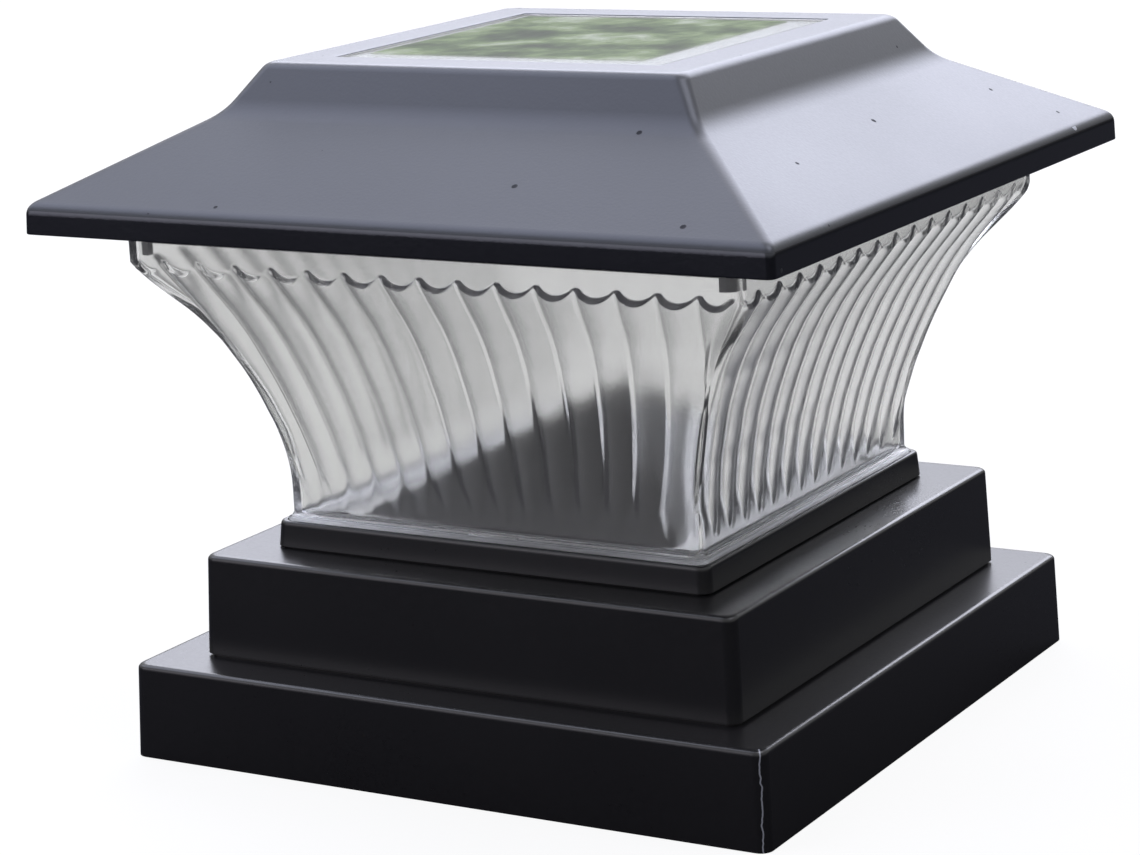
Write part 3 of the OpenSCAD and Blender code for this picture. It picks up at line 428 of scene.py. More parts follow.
def clear(name, color, rough, ior=1.49, wave=None, through=1.0, edge=None, dull=None):
    """Clear plastic that light passes through: a shadow or soft-light ray goes straight on, a little dimmed.

    Wave is the strength and scale of a slight unevenness, and edge is a painted shade: the colour that the
    wall greys to where it is seen at a slant. Dull is a mask made by the function given, where the plastic is
    frosted.
    """
    material, tree, out = blank(name)
    shader = node(tree, "ShaderNodeBsdfPrincipled", {
        "Base Color": color, "Roughness": rough, "IOR": ior, "Transmission Weight": through,
    })
    if wave:
        strength, scale = wave
        bump = node(tree, "ShaderNodeBump", {"Height": noise(tree, scale, 2.0), "Strength": strength,
                                             "Distance": 0.001})
        tree.links.new(bump.outputs[0], shader.inputs["Normal"])
    if edge:
        # painted shade: seen at a slant, the wall's colour is greyed towards the edge colour
        slant = node(tree, "ShaderNodeLayerWeight", {"Blend": 0.5}).outputs["Facing"]
        share = node(tree, "ShaderNodeMapRange", {"Value": slant, "From Min": 0.4,
                                                  "From Max": 0.75}).outputs[0]
        tree.links.new(blended(tree, share, color, edge), shader.inputs["Base Color"])
    if dull:
        tree.links.new(calc(tree, "MULTIPLY_ADD", dull(tree), DULL_MORE, rough), shader.inputs["Roughness"])
    straight = node(tree, "ShaderNodeBsdfTransparent", {"Color": (0.9, 0.9, 0.9, 1)})
    surface = mixed(tree, seen_by(tree, "Is Shadow Ray", "Is Diffuse Ray"), shader, straight)
    tree.links.new(surface.outputs[0], out.inputs["Surface"])
    return material


def eave_nicks(tree):
    """Nicks: small random spots in a narrow band on the upper edge of one eave, towards its end."""
    cell_scale, nick_size, share = 150.0, 0.2, 0.5
    edge_z, band, eave_x, end_y = 0.1252, 0.0009, 0.087, 0.03
    x, y, z = xyz(tree)
    distance, chance, _ = random_cells(tree, cell_scale)
    off_edge = calc(tree, "ABSOLUTE", calc(tree, "SUBTRACT", z, edge_z))
    return all_of(tree, calc(tree, "LESS_THAN", distance, nick_size), calc(tree, "LESS_THAN", chance, share),
                  calc(tree, "LESS_THAN", off_edge, band), calc(tree, "GREATER_THAN", x, eave_x),
                  calc(tree, "GREATER_THAN", y, end_y))


def fascia(tree):
    """The upright edge of the roof: all that is below its top."""
    fascia_top = 0.1249
    return calc(tree, "LESS_THAN", xyz(tree)[2], fascia_top)


def under_lens(tree):
    """The part of the base cap that the lens covers: above the floor's underside, inside the lens foot."""
    covered_half, floor_under = 0.0505, 0.0499
    x, y, z = xyz(tree)
    half = calc(tree, "MAXIMUM", calc(tree, "ABSOLUTE", x), calc(tree, "ABSOLUTE", y))
    return all_of(tree, calc(tree, "LESS_THAN", half, covered_half),
                  calc(tree, "GREATER_THAN", z, floor_under))


def corner_pale_line(tree):
    """A mask for a pale mark: a thin wavy line down one upright corner of the lowest tier, where x is minus
    y.
    """
    wave_scale, sway, middle, half_width, corner, strength = 260.0, 0.0022, 0.0006, 0.00022, 0.1530, 0.8
    x, y, z = xyz(tree)
    wave = node(tree, "ShaderNodeTexNoise", {"W": calc(tree, "MULTIPLY", z, wave_scale), "Scale": 1.0,
                                             "Detail": 2.0}, noise_dimensions="1D").outputs["Fac"]
    across = calc(tree, "ADD", calc(tree, "ADD", x, y), calc(tree, "MULTIPLY", wave, sway))
    off_line = calc(tree, "ABSOLUTE", calc(tree, "SUBTRACT", across, middle))
    return all_of(tree, calc(tree, "LESS_THAN", off_line, half_width),
                  calc(tree, "GREATER_THAN", calc(tree, "SUBTRACT", x, y), corner), strength)


def lens_foot(tree):
    """The flange at the lens foot: all that is below its top."""
    flange_top = 0.0514
    return calc(tree, "LESS_THAN", xyz(tree)[2], flange_top)


def cells_and_painted_reflection():
    """Cells in broad soft patches of four greens, partly a painted reflection, and fine contact lines."""
    line_gap, line_half, line_strength, line_grey = 0.0025, 0.00012, 0.25, (0.5, 0.52, 0.5, 1)
    # the greens: partly the cells' own grain, partly a painted reflection of greenery
    grain_and_reflection_greens = [(0.36, (0.02, 0.06, 0.015, 1)), (0.46, (0.12, 0.22, 0.06, 1)), (0.55, (0.34, 0.48, 0.18, 1)),
              (0.66, (0.8, 0.88, 0.66, 1))]
    material, tree, out = blank("cells_painted_reflection")
    shader = node(tree, "ShaderNodeBsdfPrincipled", {"Roughness": 0.35, "Coat Weight": 0.3})
    ramp = node(tree, "ShaderNodeValToRGB", {"Fac": noise(tree, 55.0, 5.0, Roughness=0.6)})
    while len(ramp.color_ramp.elements) < len(grain_and_reflection_greens):
        ramp.color_ramp.elements.new(0.5)
    for element, (at, color) in zip(ramp.color_ramp.elements, grain_and_reflection_greens):
        element.position = at
        element.color = color
    off_line = calc(tree, "PINGPONG", xyz(tree)[0], line_gap)
    faint = calc(tree, "MULTIPLY", calc(tree, "LESS_THAN", off_line, line_half), line_strength)
    tree.links.new(blended(tree, faint, ramp.outputs["Color"], line_grey), shader.inputs["Base Color"])
    tree.links.new(shader.outputs[0], out.inputs["Surface"])
    return material


ROOF_BLACK = plastic("roof_black", (0.008, 0.008, 0.0105), 0.4, grain=1400, bump=0.1, spread=0.12, ior=1.52,
                     specks=(118.0, 0.085, 1.0), tint=(0.86, 0.9, 1, 1), pale_marks=eave_nicks, sleek=fascia)
BASE_BLACK = plastic("base_black", (0.0075, 0.007, 0.008), 0.3, grain=1200, bump=0.02, spread=0.15, ior=1.46,
                     pale_marks=corner_pale_line, polish=under_lens)
TRAY_BLACK = plastic("tray_black", (0.016, 0.016, 0.018), 0.5, grain=1000, bump=0.1, spread=0.15)
# the edge colour is a painted shade, greying the lens where it is seen at a slant
LENS_CLEAR = clear("lens_clear", (0.885, 0.885, 0.87, 1), 0.15, ior=1.5, wave=(0.04, 90), through=0.93,
                   edge=(0.28, 0.285, 0.28, 1), dull=lens_foot)
PANEL_CLEAR = clear("panel_clear", (0.95, 0.97, 0.95, 1), 0.03, ior=1.42)
FROST = clear("frosted_cup", (0.93, 0.93, 0.92, 1), 0.45)
STEEL = plastic("zinc_steel", (0.55, 0.55, 0.57), 0.35, grain=2000, bump=0.1, spread=0.2, metallic=1.0)
NICKEL = plastic("nickel", (0.66, 0.63, 0.58), 0.28, grain=2000, bump=0.05, spread=0.15, metallic=1.0)
BOARD_GREEN = plastic("solder_mask", (0.012, 0.10, 0.04), 0.3, grain=500, bump=0.06, spread=0.25, coat=0.3)
BOARD_WHITE = plastic("white_mask", (0.75, 0.75, 0.73), 0.35, grain=500, bump=0.05)
CHIP_BLACK = plastic("chip_black", (0.02, 0.02, 0.02), 0.5, grain=1500, bump=0.15)
FERRITE = plastic("ferrite", (0.05, 0.05, 0.055), 0.45, grain=700, bump=0.3)
WHITE_BACK = plastic("white_backing", (0.88, 0.87, 0.9), 0.35, grain=900, bump=0.03, spread=0.04)
FOAM = plastic("foam", (0.03, 0.03, 0.03), 0.85, grain=600, bump=0.5)
LAMP = plastic("lamp_phosphor", (0.75, 0.62, 0.2), 0.25, grain=1500, bump=0.1, coat=0.8)
SLEEVE = plastic("cell_sleeve", (0.04, 0.24, 0.11), 0.3, grain=300, bump=0.03, coat=0.4)
SEAL = plastic("seal_rubber", (0.05, 0.05, 0.05), 0.7, grain=900, bump=0.2)
# the cells' mottled greens are partly a painted reflection
CELLS_AND_REFLECTION = cells_and_painted_reflection()
LEAD_SLEEVES = {
    "lead_red": plastic("lead_red", (0.45, 0.02, 0.02), 0.4, grain=900, bump=0.05),
    "lead_black": plastic("lead_black", (0.015, 0.015, 0.015), 0.4, grain=900, bump=0.05),
    "lead_white": plastic("lead_white", (0.7, 0.7, 0.7), 0.4, grain=900, bump=0.05),
}


def dress(name, material):
    """Gives a CAD node one material."""
    mesh = NODES[name].data
    mesh.materials.clear()
    mesh.materials.append(material)


def finish_piece(piece, body, node_name, material):
    """A piece that stands for a CAD node: its body and its material."""
    piece.data.materials.clear()
    piece.data.materials.append(material)
    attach(piece, body)
    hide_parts(node_name)


# ---- Base: three tiers, each a closed (half, height, rounding, corner) profile ----

def tier_6in():
    """The lowest tier: a leaning wall with a rounded shoulder, and a plate with an opening."""
    under = LARGE_Z - PLATE
    shell = closed_shell([
        (LARGE_HALF, 0, 0.3, 2.6), (LARGE_HALF - DRAFT, LARGE_Z, 1.2, 2.6),
        (PLATE_OPENING, LARGE_Z, 0.3, 8), (PLATE_OPENING, under, 0.3, 8),
        (LARGE_IN, under, 0.6, 0.6), (LARGE_IN, 0, 0.2, 0.6),
    ])
    holes = four(PLATE_SCREW, under - 1, LARGE_Z + 1, POST_SCREW_HOLE)
    holes += four(ADAPTER_SCREW, under - 1, LARGE_Z + 1, SCREW_HOLE)
    holes += four(ADAPTER_SCREW, under - 0.3, under + 1.5, COUNTERSINK_LOW, COUNTERSINK_HIGH)
    return cut_holes(put_parts("tier_6in", [shell]), holes)


def tier_5in():
    """The middle tier: as the lowest, with a shadow gap at its foot and four screw bosses."""
    under, seam_top = BAND_Z - PLATE, LARGE_Z + MIDDLE_SEAM
    shell = closed_shell([
        (MIDDLE_HALF - SEAM_IN, LARGE_Z, 0, 2.2), (MIDDLE_HALF - SEAM_IN, seam_top, 0, 2.2),
        (MIDDLE_HALF, seam_top, 0.1, 2.6), (MIDDLE_HALF - 0.9, BAND_Z, 1.2, 2.6),
        (SKIRT_SEAT, BAND_Z, 0.2, 0.4), (SKIRT_SEAT, under, 0.2, 0.4),
        (MIDDLE_IN, under, 0.6, 0.6), (MIDDLE_IN, LARGE_Z, 0.2, 0.6),
    ])
    boss_top = under + 0.5
    boss = [(0, LARGE_Z, 0), (ADAPTER_BOSS, LARGE_Z, 0.2), (ADAPTER_BOSS, boss_top, 0), (0, boss_top, 0)]
    bosses = [turned(boss, (sx * ADAPTER_SCREW, sy * ADAPTER_SCREW), 28) for sx, sy in CORNERS]
    return cut_holes(put_parts("tier_5in", [shell] + bosses),
                     four(ADAPTER_SCREW, LARGE_Z - 1, LARGE_Z + 9, PILOT_HOLE))


def tier_4in():
    """The base cap: a skirt, a band with a rounded shoulder, a floor, and a hollow pyramid on the floor.

    A small plug closes the pyramid's tip, where the ring of the profile leaves a pinhole.
    """
    under, skirt_z, seam_top = FLOOR_Z - CAP_FLOOR, BAND_Z - SKIRT_DROP, BAND_Z + BAND_SEAM
    seat, tip_z, pinhole = LENS_FOOT + 1.25, FLOOR_Z + 24.9, 0.2
    inner_top = under + PYRAMID_H * PYRAMID_IN / PYRAMID_HALF
    shell = closed_shell([
        (SKIRT_HALF, skirt_z, 0.3, 1.0), (SKIRT_HALF, BAND_Z, 0, 1.0),
        (BAND_HALF - SEAM_IN, BAND_Z, 0, 2.2), (BAND_HALF - SEAM_IN, seam_top, 0, 2.2),
        (BAND_HALF, seam_top, 0.1, 2.6), (BAND_HALF - 0.5, CAP_Z, 1.0, 2.6),
        (seat, CAP_Z, 0.1, 2.6), (seat, FLOOR_Z, 0, 2.6),
        (PYRAMID_HALF, FLOOR_Z, 0.3, 0.8), (0.9, FLOOR_Z + 24.6, 0.7, 0.3), (pinhole, tip_z, 0, 0.1),
        (pinhole, inner_top - 0.4, 0, 0.1), (PYRAMID_IN, under, 0.2, 0.7),
        (SMALL_IN, under, 0.4, 0.5), (SMALL_IN, skirt_z, 0.2, 0.5),
    ])
    plug_z = inner_top - 0.1
    plug = turned([(0, plug_z, 0), (0.25, plug_z, 0), (0.25, tip_z, 0), (0, tip_z, 0)], (0, 0), 12)
    return cut_holes(put_parts("tier_4in", [shell, plug]),
                     four(CAP_SCREW, under - 1, FLOOR_Z + 1, POST_SCREW_HOLE))


# ---- Lens ----

# The flare: (height, half of the square) pairs, from the photograph's outline
FLARE = np.array([
    (50.0, 51.8), (57.0, 51.8), (59.4, 51.85), (62.2, 52.05), (65.1, 52.4), (68.6, 53.0), (71.9, 53.65),
    (75.5, 54.7), (79.1, 55.8), (83.0, 57.2), (86.4, 58.6), (89.6, 60.0), (92.7, 61.4), (95.3, 62.8),
    (97.9, 64.3), (100.2, 65.8), (103.5, 68.3), (106.3, 70.5), (109.2, 72.7), (110.9, 73.9), (112.3, 74.6),
    (121.4, 74.6),
])
PITCH = 2 * RIM_HALF / FLUTES
PITCH_TAPER = 0.00463  # how much of the pitch a flute loses for each millimetre down from the rim
PLAIN_HALF = 51.75
PER_FLUTE, FOOT_ROWS, FLUTE_ROWS = 12, 6, 56
OUTER_DEPTH, INNER_DEPTH = 1.75, 1.6


def smooth_step(t):
    """0 below 0 and 1 above 1, with a smooth rise between."""
    t = np.clip(t, 0, 1)
    return t * t * (3 - 2 * t)


def flare(z):
    """Half of the lens at height z: a cubic through the flare's points, flat at either end."""
    knots, values = FLARE[:, 0], FLARE[:, 1]
    slope = np.gradient(values, knots)
    slope[-2:] = 0
    slope[:2] = 0
    i = np.clip(np.searchsorted(knots, z) - 1, 0, len(knots) - 2)
    h = knots[i + 1] - knots[i]
    t = np.clip((z - knots[i]) / h, 0, 1)
    return ((2 * t ** 3 - 3 * t ** 2 + 1) * values[i] + (t ** 3 - 2 * t ** 2 + t) * h * slope[i]
            + (-2 * t ** 3 + 3 * t ** 2) * values[i + 1] + (t ** 3 - t ** 2) * h * slope[i + 1])


def taper(z):
    """The flute pitch at height z, as a share of the pitch at the rim. A flute's depth goes by its square."""
    return 1 - PITCH_TAPER * (SCALLOP_Z - np.minimum(z, SCALLOP_Z))


def skin(z, inset):
    """Half of the wall at the bottom of a flute valley, at height z.

    It is the flare, set in by the wall and drawn in a little near the foot. The inner wall is set in by
    more just under the rim.
    """
    thick = inset * (1 + 0.36 * smooth_step((z - 96) / 12))
    drawn_in = np.clip((76.5 - z) / 23, 0, 1.3) ** 2
    return flare(z) - drawn_in - thick


def fluted_wall(inset, depth):
    """One surface of the fluted wall, from its foot to its rim: a grid of heights by places round the faces.

    The outline of a face is the skin, with a round flute standing out between each pair of valleys. A plain
    band takes over near the foot where it stands further out, and the upright rim cuts the flutes off in a
    scalloped edge. The inner surface is the same, set in by the wall, with its flutes a little shallower.
    Each column keeps its place in its flute all the way up, so the valleys are lines of the grid, and one
    row lies on the scalloped edge.
    """
    u = np.arange(-FLUTES // 2 * PER_FLUTE, FLUTES // 2 * PER_FLUTE) / PER_FLUTE
    away, side = np.abs(u)[None, :], np.sign(u)[None, :]
    last = FLUTES // 2 - 1  # the last flute before the corner, which stretches to reach it
    rim = RIM_HALF - inset

    # the scalloped edge: for each column, the lowest height where its flute reaches the rim
    levels = np.linspace(95, SCALLOP_Z + 3.5, 1200)
    share = away[0] - np.floor(away[0])
    swell = 1 - (2 * share - 1) ** 2
    out = skin(levels, inset)[None, :] + depth * (taper(levels) ** 2)[None, :] * swell[:, None]
    reaches = out >= rim - 1e-4
    reach = np.where(reaches.any(axis=1), np.argmax(reaches, axis=1), np.argmax(levels >= SCALLOP_Z))
    edge = levels[reach][None, :]

    # heights: the plain band at the foot, then rows that crowd a little towards the foot
    t = np.concatenate([np.zeros(FOOT_ROWS), np.linspace(0, 1, FLUTE_ROWS)])[:, None]
    z = PLAIN_Z + (edge - PLAIN_Z) * (1 - (1 - t) ** 1.25)
    z[:FOOT_ROWS] = np.linspace(FOOT_TOP, PLAIN_Z, FOOT_ROWS + 1)[:-1, None]

    # across a face: evenly by the pitch, and the last flute to the corner
    corner = np.maximum(flare(z), PLAIN_HALF) - inset
    inside = np.minimum(away, last) * PITCH * taper(z)
    x = side * (inside + (corner - inside) * np.clip(away - last, 0, 1))

    # out from the middle: the skin and its flutes, which run off before the corner
    to_corner = corner - np.abs(x)
    share = np.abs(x) / (PITCH * taper(z))
    share = share - np.floor(share + 1e-9)
    run_off = 1 - np.exp(-(to_corner / 1.3) ** 2)
    y = skin(z, inset) + depth * taper(z) ** 2 * (1 - (2 * share - 1) ** 2) * run_off
    y = np.minimum(np.maximum(y, PLAIN_HALF - inset), rim)
    y[-1] = rim
    # at the corner line itself both faces meet on the corner square
    y = y + (corner - y) * np.exp(-(to_corner / 0.9) ** 2)

    # the upright rim, where the columns spread to the rim's own pitch
    t = np.array([0.04, 0.1, 0.3, 0.55, 0.8, 0.97, 1.0])[:, None]
    z_rim = edge + (RIM_Z - 0.1 - edge) * t
    x_top = np.where(away <= last, u[None, :] * PITCH,
                     side * (last * PITCH + (rim - last * PITCH) * (away - last)))
    x_rim = x[-1][None, :] + (x_top - x[-1][None, :]) * t
    z = np.vstack([z, z_rim])
    x = np.vstack([x, x_rim])
    y = np.vstack([y, np.full_like(x_rim, rim)])
    corner = np.vstack([corner, np.full_like(x_rim, rim)])
    y[:, 0] = -x[:, 0]

    # a little less at the very corner, so that the hip is rounded
    hip, hip_reach = (0.5 if inset else 0.8), 2.4
    ease = hip * (1 - np.minimum(np.abs(np.abs(x) - corner), hip_reach) / hip_reach) ** 2
    y = y - ease
    x = np.sign(x) * (np.abs(x) - ease)
    faces = [np.stack([x * c + y * s, x * s - y * c, z], axis=-1) for c, s in QUARTER_TURNS]
    return np.concatenate(faces, axis=1)


def lens_wall():
    """The lens: a fluted outer wall, an inner wall that follows it, a lip at the rim and a foot flange.

    It is one closed ring of rows: up the outer wall, over the lip, down the inner wall and under the foot.
    """
    outer = fluted_wall(0.0, OUTER_DEPTH)
    inner = fluted_wall(LENS_WALL, INNER_DEPTH)[::-1]
    angle = np.arctan2(outer[-1, :, 1], outer[-1, :, 0])
    scale = 1 / np.maximum(np.abs(np.cos(angle)), np.abs(np.sin(angle)))

    def ring(half, z, corner):
        """A square ring with a rounded corner and as many points as the wall has, on the same bearings."""
        x, y = half * scale * np.cos(angle), half * scale * np.sin(angle)
        edge = half - corner
        dx, dy = np.abs(x) - edge, np.abs(y) - edge
        over = (dx > 0) & (dy > 0)
        reach, big = np.maximum(np.hypot(dx, dy), 1e-9), np.maximum(dx, dy)
        x = np.where(over, np.sign(x) * (edge + dx / reach * big), x)
        y = np.where(over, np.sign(y) * (edge + dy / reach * big), y)
        return np.column_stack([x, y, np.full(len(angle), z)])

    flange, flange_in = LENS_FOOT + 1.05, 47.0
    foot = [ring(*row) for row in (
        (flange_in, FLOOR_Z + 0.02, 2), (flange - 0.25, FLOOR_Z + 0.02, 2.4),
        (flange - 0.05, FLOOR_Z + 0.12, 2.4), (flange, FLOOR_Z + 0.3, 2.4), (flange, FOOT_TOP - 0.4, 2.4),
        (flange - 0.12, FOOT_TOP - 0.12, 2.4), (flange - 0.4, FOOT_TOP, 2.3),
        (LENS_FOOT + 0.45, FOOT_TOP, 1.6), (LENS_FOOT + 0.2, FOOT_TOP + 0.1, 1.2),
    )]
    lip = [ring(RIM_HALF - 0.35, RIM_Z, 0.9), ring(RIM_HALF - LENS_WALL + 0.35, RIM_Z, 0.6)]
    inside = [ring(49.3, FOOT_TOP + 0.25, 1.2), ring(48.9, FOOT_TOP, 1.4), ring(flange_in, FOOT_TOP, 2),
              ring(flange_in, FOOT_TOP - 0.5, 2)]
    rows = np.concatenate([foot, outer[1:], lip, inner[:-1], inside])
    return rows.reshape(-1, 3), grid_quads(*rows.shape[:2], wrap_rows=True), NO_TRIANGLES


def lens_tabs():
    """Four hooked tabs under the foot: a hook's outline, carried along the side and closed at both ends."""
    # (distance from the middle, height), up to the foot on the inside, round the toe and back to the foot
    outline = np.array([(47.6, 50.5), (47.6, 46.25), (50.2, 46.25), (50.2, 47.4), (49.9, 47.75),
                        (49.2, 47.75), (49.2, 50.5)])
    n = len(outline)
    i = np.arange(n)
    j = (i + 1) % n
    quads = np.column_stack([i, j, j + n, i + n])[:, ::-1]
    end = np.array([(0, 1, 4), (1, 2, 3), (1, 3, 4), (0, 4, 5), (0, 5, 6)])
    ends = np.vstack([end, end[:, ::-1] + n])
    p = np.vstack([np.column_stack([np.full(n, x), outline]) for x in (-6.0, 6.0)])
    return [(np.column_stack([p[:, 0] * c - p[:, 1] * s, p[:, 0] * s + p[:, 1] * c, p[:, 2]]), quads, ends)
            for c, s in QUARTER_TURNS]


# ---- Roof ----

def roof():
    """The roof: a fascia, a long slope, a steeper step and a flat top with the panel's pocket, all one shell.

    A small plug closes the middle of the pocket's floor, where the ring of the profile leaves a pinhole.
    """
    pan_under, pan_half, pinhole = POCKET_Z - ROOF_WALL, POCKET_HALF + ROOF_WALL, 0.4
    outer = [
        (ROOF_HALF - 0.1, EAVE_Z, 0.35, 1.6), (ROOF_HALF - 0.35, FASCIA_Z + 0.2, 1.9, 1.6),
        (STEP_HALF, STEP_Z, 3.2, 2.2), (TOP_HALF, TOP_Z, 1.6, 2.6), (POCKET_HALF, TOP_Z, 0.6, 0.8),
        (POCKET_HALF, POCKET_Z, 0.1, 0.6),
    ]
    inner = [
        (pinhole, POCKET_Z, 0, 0.1), (pinhole, pan_under, 0, 0.1), (pan_half, pan_under, 0.3, 0.6),
        (pan_half, TOP_Z - ROOF_WALL, 0.3, 0.6), (TOP_HALF - 1.4, TOP_Z - ROOF_WALL, 1.0, 1.0),
        (STEP_HALF - 1.6, STEP_Z - 2.3, 2.0, 0.8), (ROOF_HALF - 2.45, FASCIA_Z - 1.2, 0.4, 0.6),
        (ROOF_HALF - 2.3, EAVE_Z, 0.3, 0.6),
    ]
    boss = [(0, TRAY_TOP, 0), (1.3, TRAY_TOP, 0), (TRAY_BOSS, TRAY_TOP, 0.2), (TRAY_BOSS, TRAY_BOSS_TOP, 0),
            (0, TRAY_BOSS_TOP, 0)]
    plug = [(0, pan_under, 0), (0.8, pan_under, 0), (0.8, POCKET_Z, 0), (0, POCKET_Z, 0)]
    parts = [closed_shell(outer + inner, steps=8, arc=8, side=24), turned(plug, (0, 0), 16)]
    parts += [turned(boss, (sx * TRAY_SCREW, sy * TRAY_SCREW), 24) for sx, sy in CORNERS]
    return cut_holes(put_parts("roof", parts),
                     [(*LEAD_HOLE, pan_under - 1, POCKET_Z + 1, LEAD_HOLE_R, LEAD_HOLE_R)])


# ---- Leads and spring ----

# Each lead's slot, and the points that its one or two wires follow
ROUTES = {
    "panel_lead_red": ("lead_red", [
        [(-18, 0, BACKING_Z), (-18, 0, 144.1), (-19, -18, 138.4), (-20, -30, 134), (-20, -30, BOARD_TOP)],
    ]),
    "panel_lead_black": ("lead_black", [
        [(-22, 0, BACKING_Z), (-22, 0, 144.1), (-23, -18, 138.4), (-24, -32, 134), (-24, -32, BOARD_TOP)],
    ]),
    "battery_lead_red": ("lead_red", [
        [(TAG_X, CELL_Y, TAG_Z), (TAG_X + 3, CELL_Y, TAG_Z), (37, 28, 130), (33, 0, 129), (24, -22, 132.8),
         (20, -30, 133), (20, -30, BOARD_TOP)],
    ]),
    "battery_lead_black": ("lead_black", [
        [(-TAG_X, CELL_Y, TAG_Z), (-TAG_X - 3, CELL_Y, TAG_Z), (-37, 28, 130), (-34, 0, 129), (-31, -30, 132),
         (-25, -38, 133), (-25, -38, BOARD_TOP)],
    ]),
    "lamp_lead_red": ("lead_red", [
        [(6, -26, BOARD_TOP), (6, -26, 132), (5, -20, 131), (2, -6, 126), (2, 0, 124), (2, 0, LAMP_BOARD_Z)],
    ]),
    "lamp_lead_black": ("lead_black", [
        [(-6, -26, BOARD_TOP), (-6, -26, 132), (-5, -20, 131), (-2, -6, 126), (-2, 0, 124),
         (-2, 0, LAMP_BOARD_Z)],
    ]),
    "switch_leads": ("lead_white", [
        [(42, 0, SWITCH_PIN_TOP), (42, 0, SWITCH_PIN_TOP + 3.6), (38, -22, 134), (25, -38, 134),
         (25, -38, BOARD_TOP)],
        [(46, 0, SWITCH_PIN_TOP), (46, 0, SWITCH_PIN_TOP + 3.6), (41, -28, 134), (25, -44, 134),
         (25, -44, BOARD_TOP)],
    ]),
}


def spring_coil():
    """A cone-shaped helix of wire, from the contact plate to the cell: its radius and its x change evenly."""
    turns, wire, plate_x, cell_x, wide, narrow = 3, 0.42, -27.4, -22.6, 4.4, 2.6
    t = np.linspace(0, 1, turns * 40)
    angle = 2 * np.pi * turns * t
    radius = wide + (narrow - wide) * t
    x = plate_x + (cell_x - 0.1 - wire - plate_x) * t
    path = np.column_stack([x, CELL_Y + radius * np.cos(angle), CELL_Z + radius * np.sin(angle)])
    return tube(path, wire, 12, start=(1, 0, 0))


# ---- Assembly ----

finish_piece(tier_6in(), "adapters", "adapter_6in", BASE_BLACK)
finish_piece(tier_5in(), "adapters", "adapter_5in", BASE_BLACK)
finish_piece(tier_4in(), "base", "base_cap_4in", BASE_BLACK)
lens = put_parts("fluted_lens", [lens_wall()] + lens_tabs())
finish_piece(lens, "base", "lens", LENS_CLEAR)
finish_piece(roof(), "head", "roof_shell", ROOF_BLACK)

for lead_name, (lead_slot, paths) in ROUTES.items():
    wires = put_parts(lead_name + "_wire", [tube(smooth_path(path), LEAD_R, 16) for path in paths])
    finish_piece(wires, "head", lead_name, LEAD_SLEEVES[lead_slot])

contact = put_parts("coil_contact", [
    spring_coil(), slab(-27.9, -27.4, 36.5, 47.5, 125.8, 136.8),
    slab(-31.6, -27.4, 40.5, 43.5, 135.05, 135.55),
])
finish_piece(contact, "head", "battery_spring", NICKEL)

for names, material in (
    (("panel_glass",), PANEL_CLEAR),
    (("solar_cells",), CELLS_AND_REFLECTION),
    (("panel_backing",), WHITE_BACK),
    (("panel_tape",), FOAM),
    (("soffit_tray", "battery_case", "battery_door"), TRAY_BLACK),
    (("rim_gasket",), SEAL),
    (("tray_screws", "board_screws", "cover_screws", "case_screws", "switch_screws", "adapter_screws"),
     STEEL),
    (("circuit_board",), BOARD_GREEN),
    (("controller_chip", "switch_slider"), CHIP_BLACK),
    (("inductor",), FERRITE),
    (("led_board",), BOARD_WHITE),
    (("leds",), LAMP),
    (("led_cover",), FROST),
    (("battery",), SLEEVE),
    (("battery_ends", "battery_plate", "switch_body"), NICKEL),
):
    for node_name in names:
        dress(node_name, material)


# ---- Studio ----

def backdrop():
    """A white world that lights softly.

    It is white to the eye and through glass. In gloss it fades from white overhead to nearly black at the
    horizon.
    """
    world = bpy.data.worlds.new("studio")
    bpy.context.scene.world = world
    world.use_nodes = True
    tree = world.node_tree
    tree.nodes.clear()
    out = tree.nodes.new("ShaderNodeOutputWorld")
    soft = node(tree, "ShaderNodeBackground", {"Color": (0.9, 0.93, 1, 1), "Strength": 0.32})
    split = node(tree, "ShaderNodeSeparateXYZ", {0: node(tree, "ShaderNodeTexCoord").outputs["Generated"]})
    rise = node(tree, "ShaderNodeMapRange", {"Value": split.outputs["Z"], "From Min": 0.04,
                                             "From Max": 0.25, "To Min": 0.04, "To Max": 1.0}).outputs[0]
    strength = calc(tree, "MAXIMUM", rise, seen_by(tree, "Is Camera Ray", "Is Transmission Ray"))
    white = node(tree, "ShaderNodeBackground", {"Color": (0.97, 0.98, 1, 1), "Strength": strength})
    seen = mixed(tree, seen_by(tree, "Is Camera Ray", "Is Glossy Ray", "Is Transmission Ray"), soft, white)
    tree.links.new(seen.outputs[0], out.inputs["Surface"])


def pale_floor():
    """The floor: white to the eye and through glass, where it keeps the object's shadow, and dark otherwise.

    The glow is the share of the white that no shadow touches.
    """
    s, glow = 4.0, 0.88
    floor = bpy.data.objects.new("floor", bpy.data.meshes.new("floor"))
    floor.data.from_pydata([(-s, -s, 0), (s, -s, 0), (s, s, 0), (-s, s, 0)], [], [(0, 1, 2, 3)])
    bpy.context.scene.collection.objects.link(floor)
    material, tree, out = blank("floor_white")
    shaded = node(tree, "ShaderNodeBsdfDiffuse", {"Color": (0.9, 0.9, 0.9, 1)})
    white = node(tree, "ShaderNodeEmission", {"Color": (1, 1, 1, 1), "Strength": 1.0})
    bright = mixed(tree, glow, shaded, white)
    dark = node(tree, "ShaderNodeBsdfDiffuse", {"Color": (0.055, 0.055, 0.06, 1)})
    surface = mixed(tree, seen_by(tree, "Is Camera Ray", "Is Transmission Ray"), dark, bright)
    tree.links.new(surface.outputs[0], out.inputs["Surface"])
    floor.data.materials.append(material)


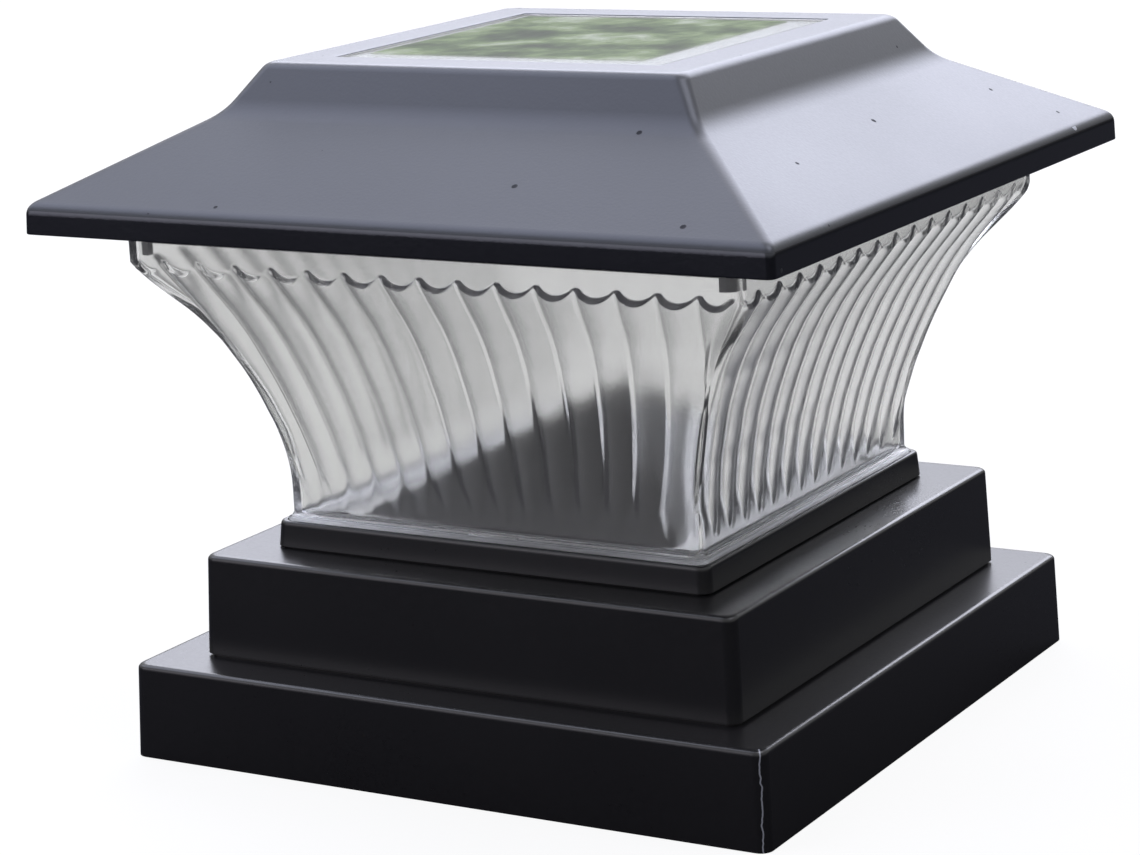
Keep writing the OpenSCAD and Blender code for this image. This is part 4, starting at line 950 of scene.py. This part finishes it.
def lamp(name, azimuth, elevation, distance, size, radiance, color):
    """A soft lamp that faces the object from a bearing (0 is behind, 90 is left) and a height in degrees."""
    a, e = math.radians(azimuth), math.radians(elevation)
    aim = Vector((0, 0, 0.1))
    place = aim + distance * Vector((-math.sin(a) * math.cos(e), math.cos(a) * math.cos(e), math.sin(e)))
    data = bpy.data.lights.new(name, "AREA")
    data.shape = "RECTANGLE"
    data.size, data.size_y = size
    data.energy = radiance * math.pi * size[0] * size[1]
    data.color = color
    light = bpy.data.objects.new(name, data)
    light.location = place
    light.rotation_euler = (aim - place).to_track_quat("-Z", "Y").to_euler()
    light.visible_camera = False
    bpy.context.scene.collection.objects.link(light)


# The photograph's own view, solved from the object's edges. Lengths are metres.
BEARING, HEIGHT, ROLL = 30.568, 13.366, -2.656  # degrees
TARGET = (0, 0, 0.065)
SHIFT_ACROSS, SHIFT_UP, DISTANCE = -0.007677, -0.001155, 0.75156
FOCAL_PIXELS, PHOTO_WIDTH, SENSOR = 3304.4, 1140, 36


def camera():
    """The camera: back along its bearing and height from the target, shifted square to that, and rolled."""
    azimuth, elevation, roll = (math.radians(a) for a in (BEARING, HEIGHT, ROLL))
    back = Vector((math.sin(azimuth) * math.cos(elevation), -math.cos(azimuth) * math.cos(elevation),
                   math.sin(elevation)))
    right = Vector((0, 0, 1)).cross(back).normalized()
    up = back.cross(right)
    across = right * math.cos(roll) + up * math.sin(roll)
    upward = -right * math.sin(roll) + up * math.cos(roll)
    place = Vector(TARGET) + across * SHIFT_ACROSS + upward * SHIFT_UP + back * DISTANCE
    data = bpy.data.cameras.new("photo_view")
    data.sensor_width = SENSOR
    data.lens = FOCAL_PIXELS / PHOTO_WIDTH * SENSOR
    data.clip_start = 0.01
    view = bpy.data.objects.new("photo_view", data)
    turn = Matrix((across, upward, back)).transposed().to_4x4()
    view.matrix_world = Matrix.Translation(place) @ turn
    bpy.context.scene.collection.objects.link(view)
    bpy.context.scene.camera = view


backdrop()
pale_floor()
lamp("behind", 18, 34, 2.0, (1.9, 1.25), 6.0, (0.84, 0.86, 1))
lamp("overhead", 103, 56, 2.0, (1.9, 1.7), 3.2, (0.76, 0.8, 1))
lamp("front left", 149, 11, 2.2, (1.6, 0.8), 1.9, (0.92, 0.88, 1))
lamp("high right", -90, 70, 1.6, (1.0, 0.7), 6, (0.9, 0.9, 1))
camera()
bpy.context.scene.view_settings.view_transform = "Standard"
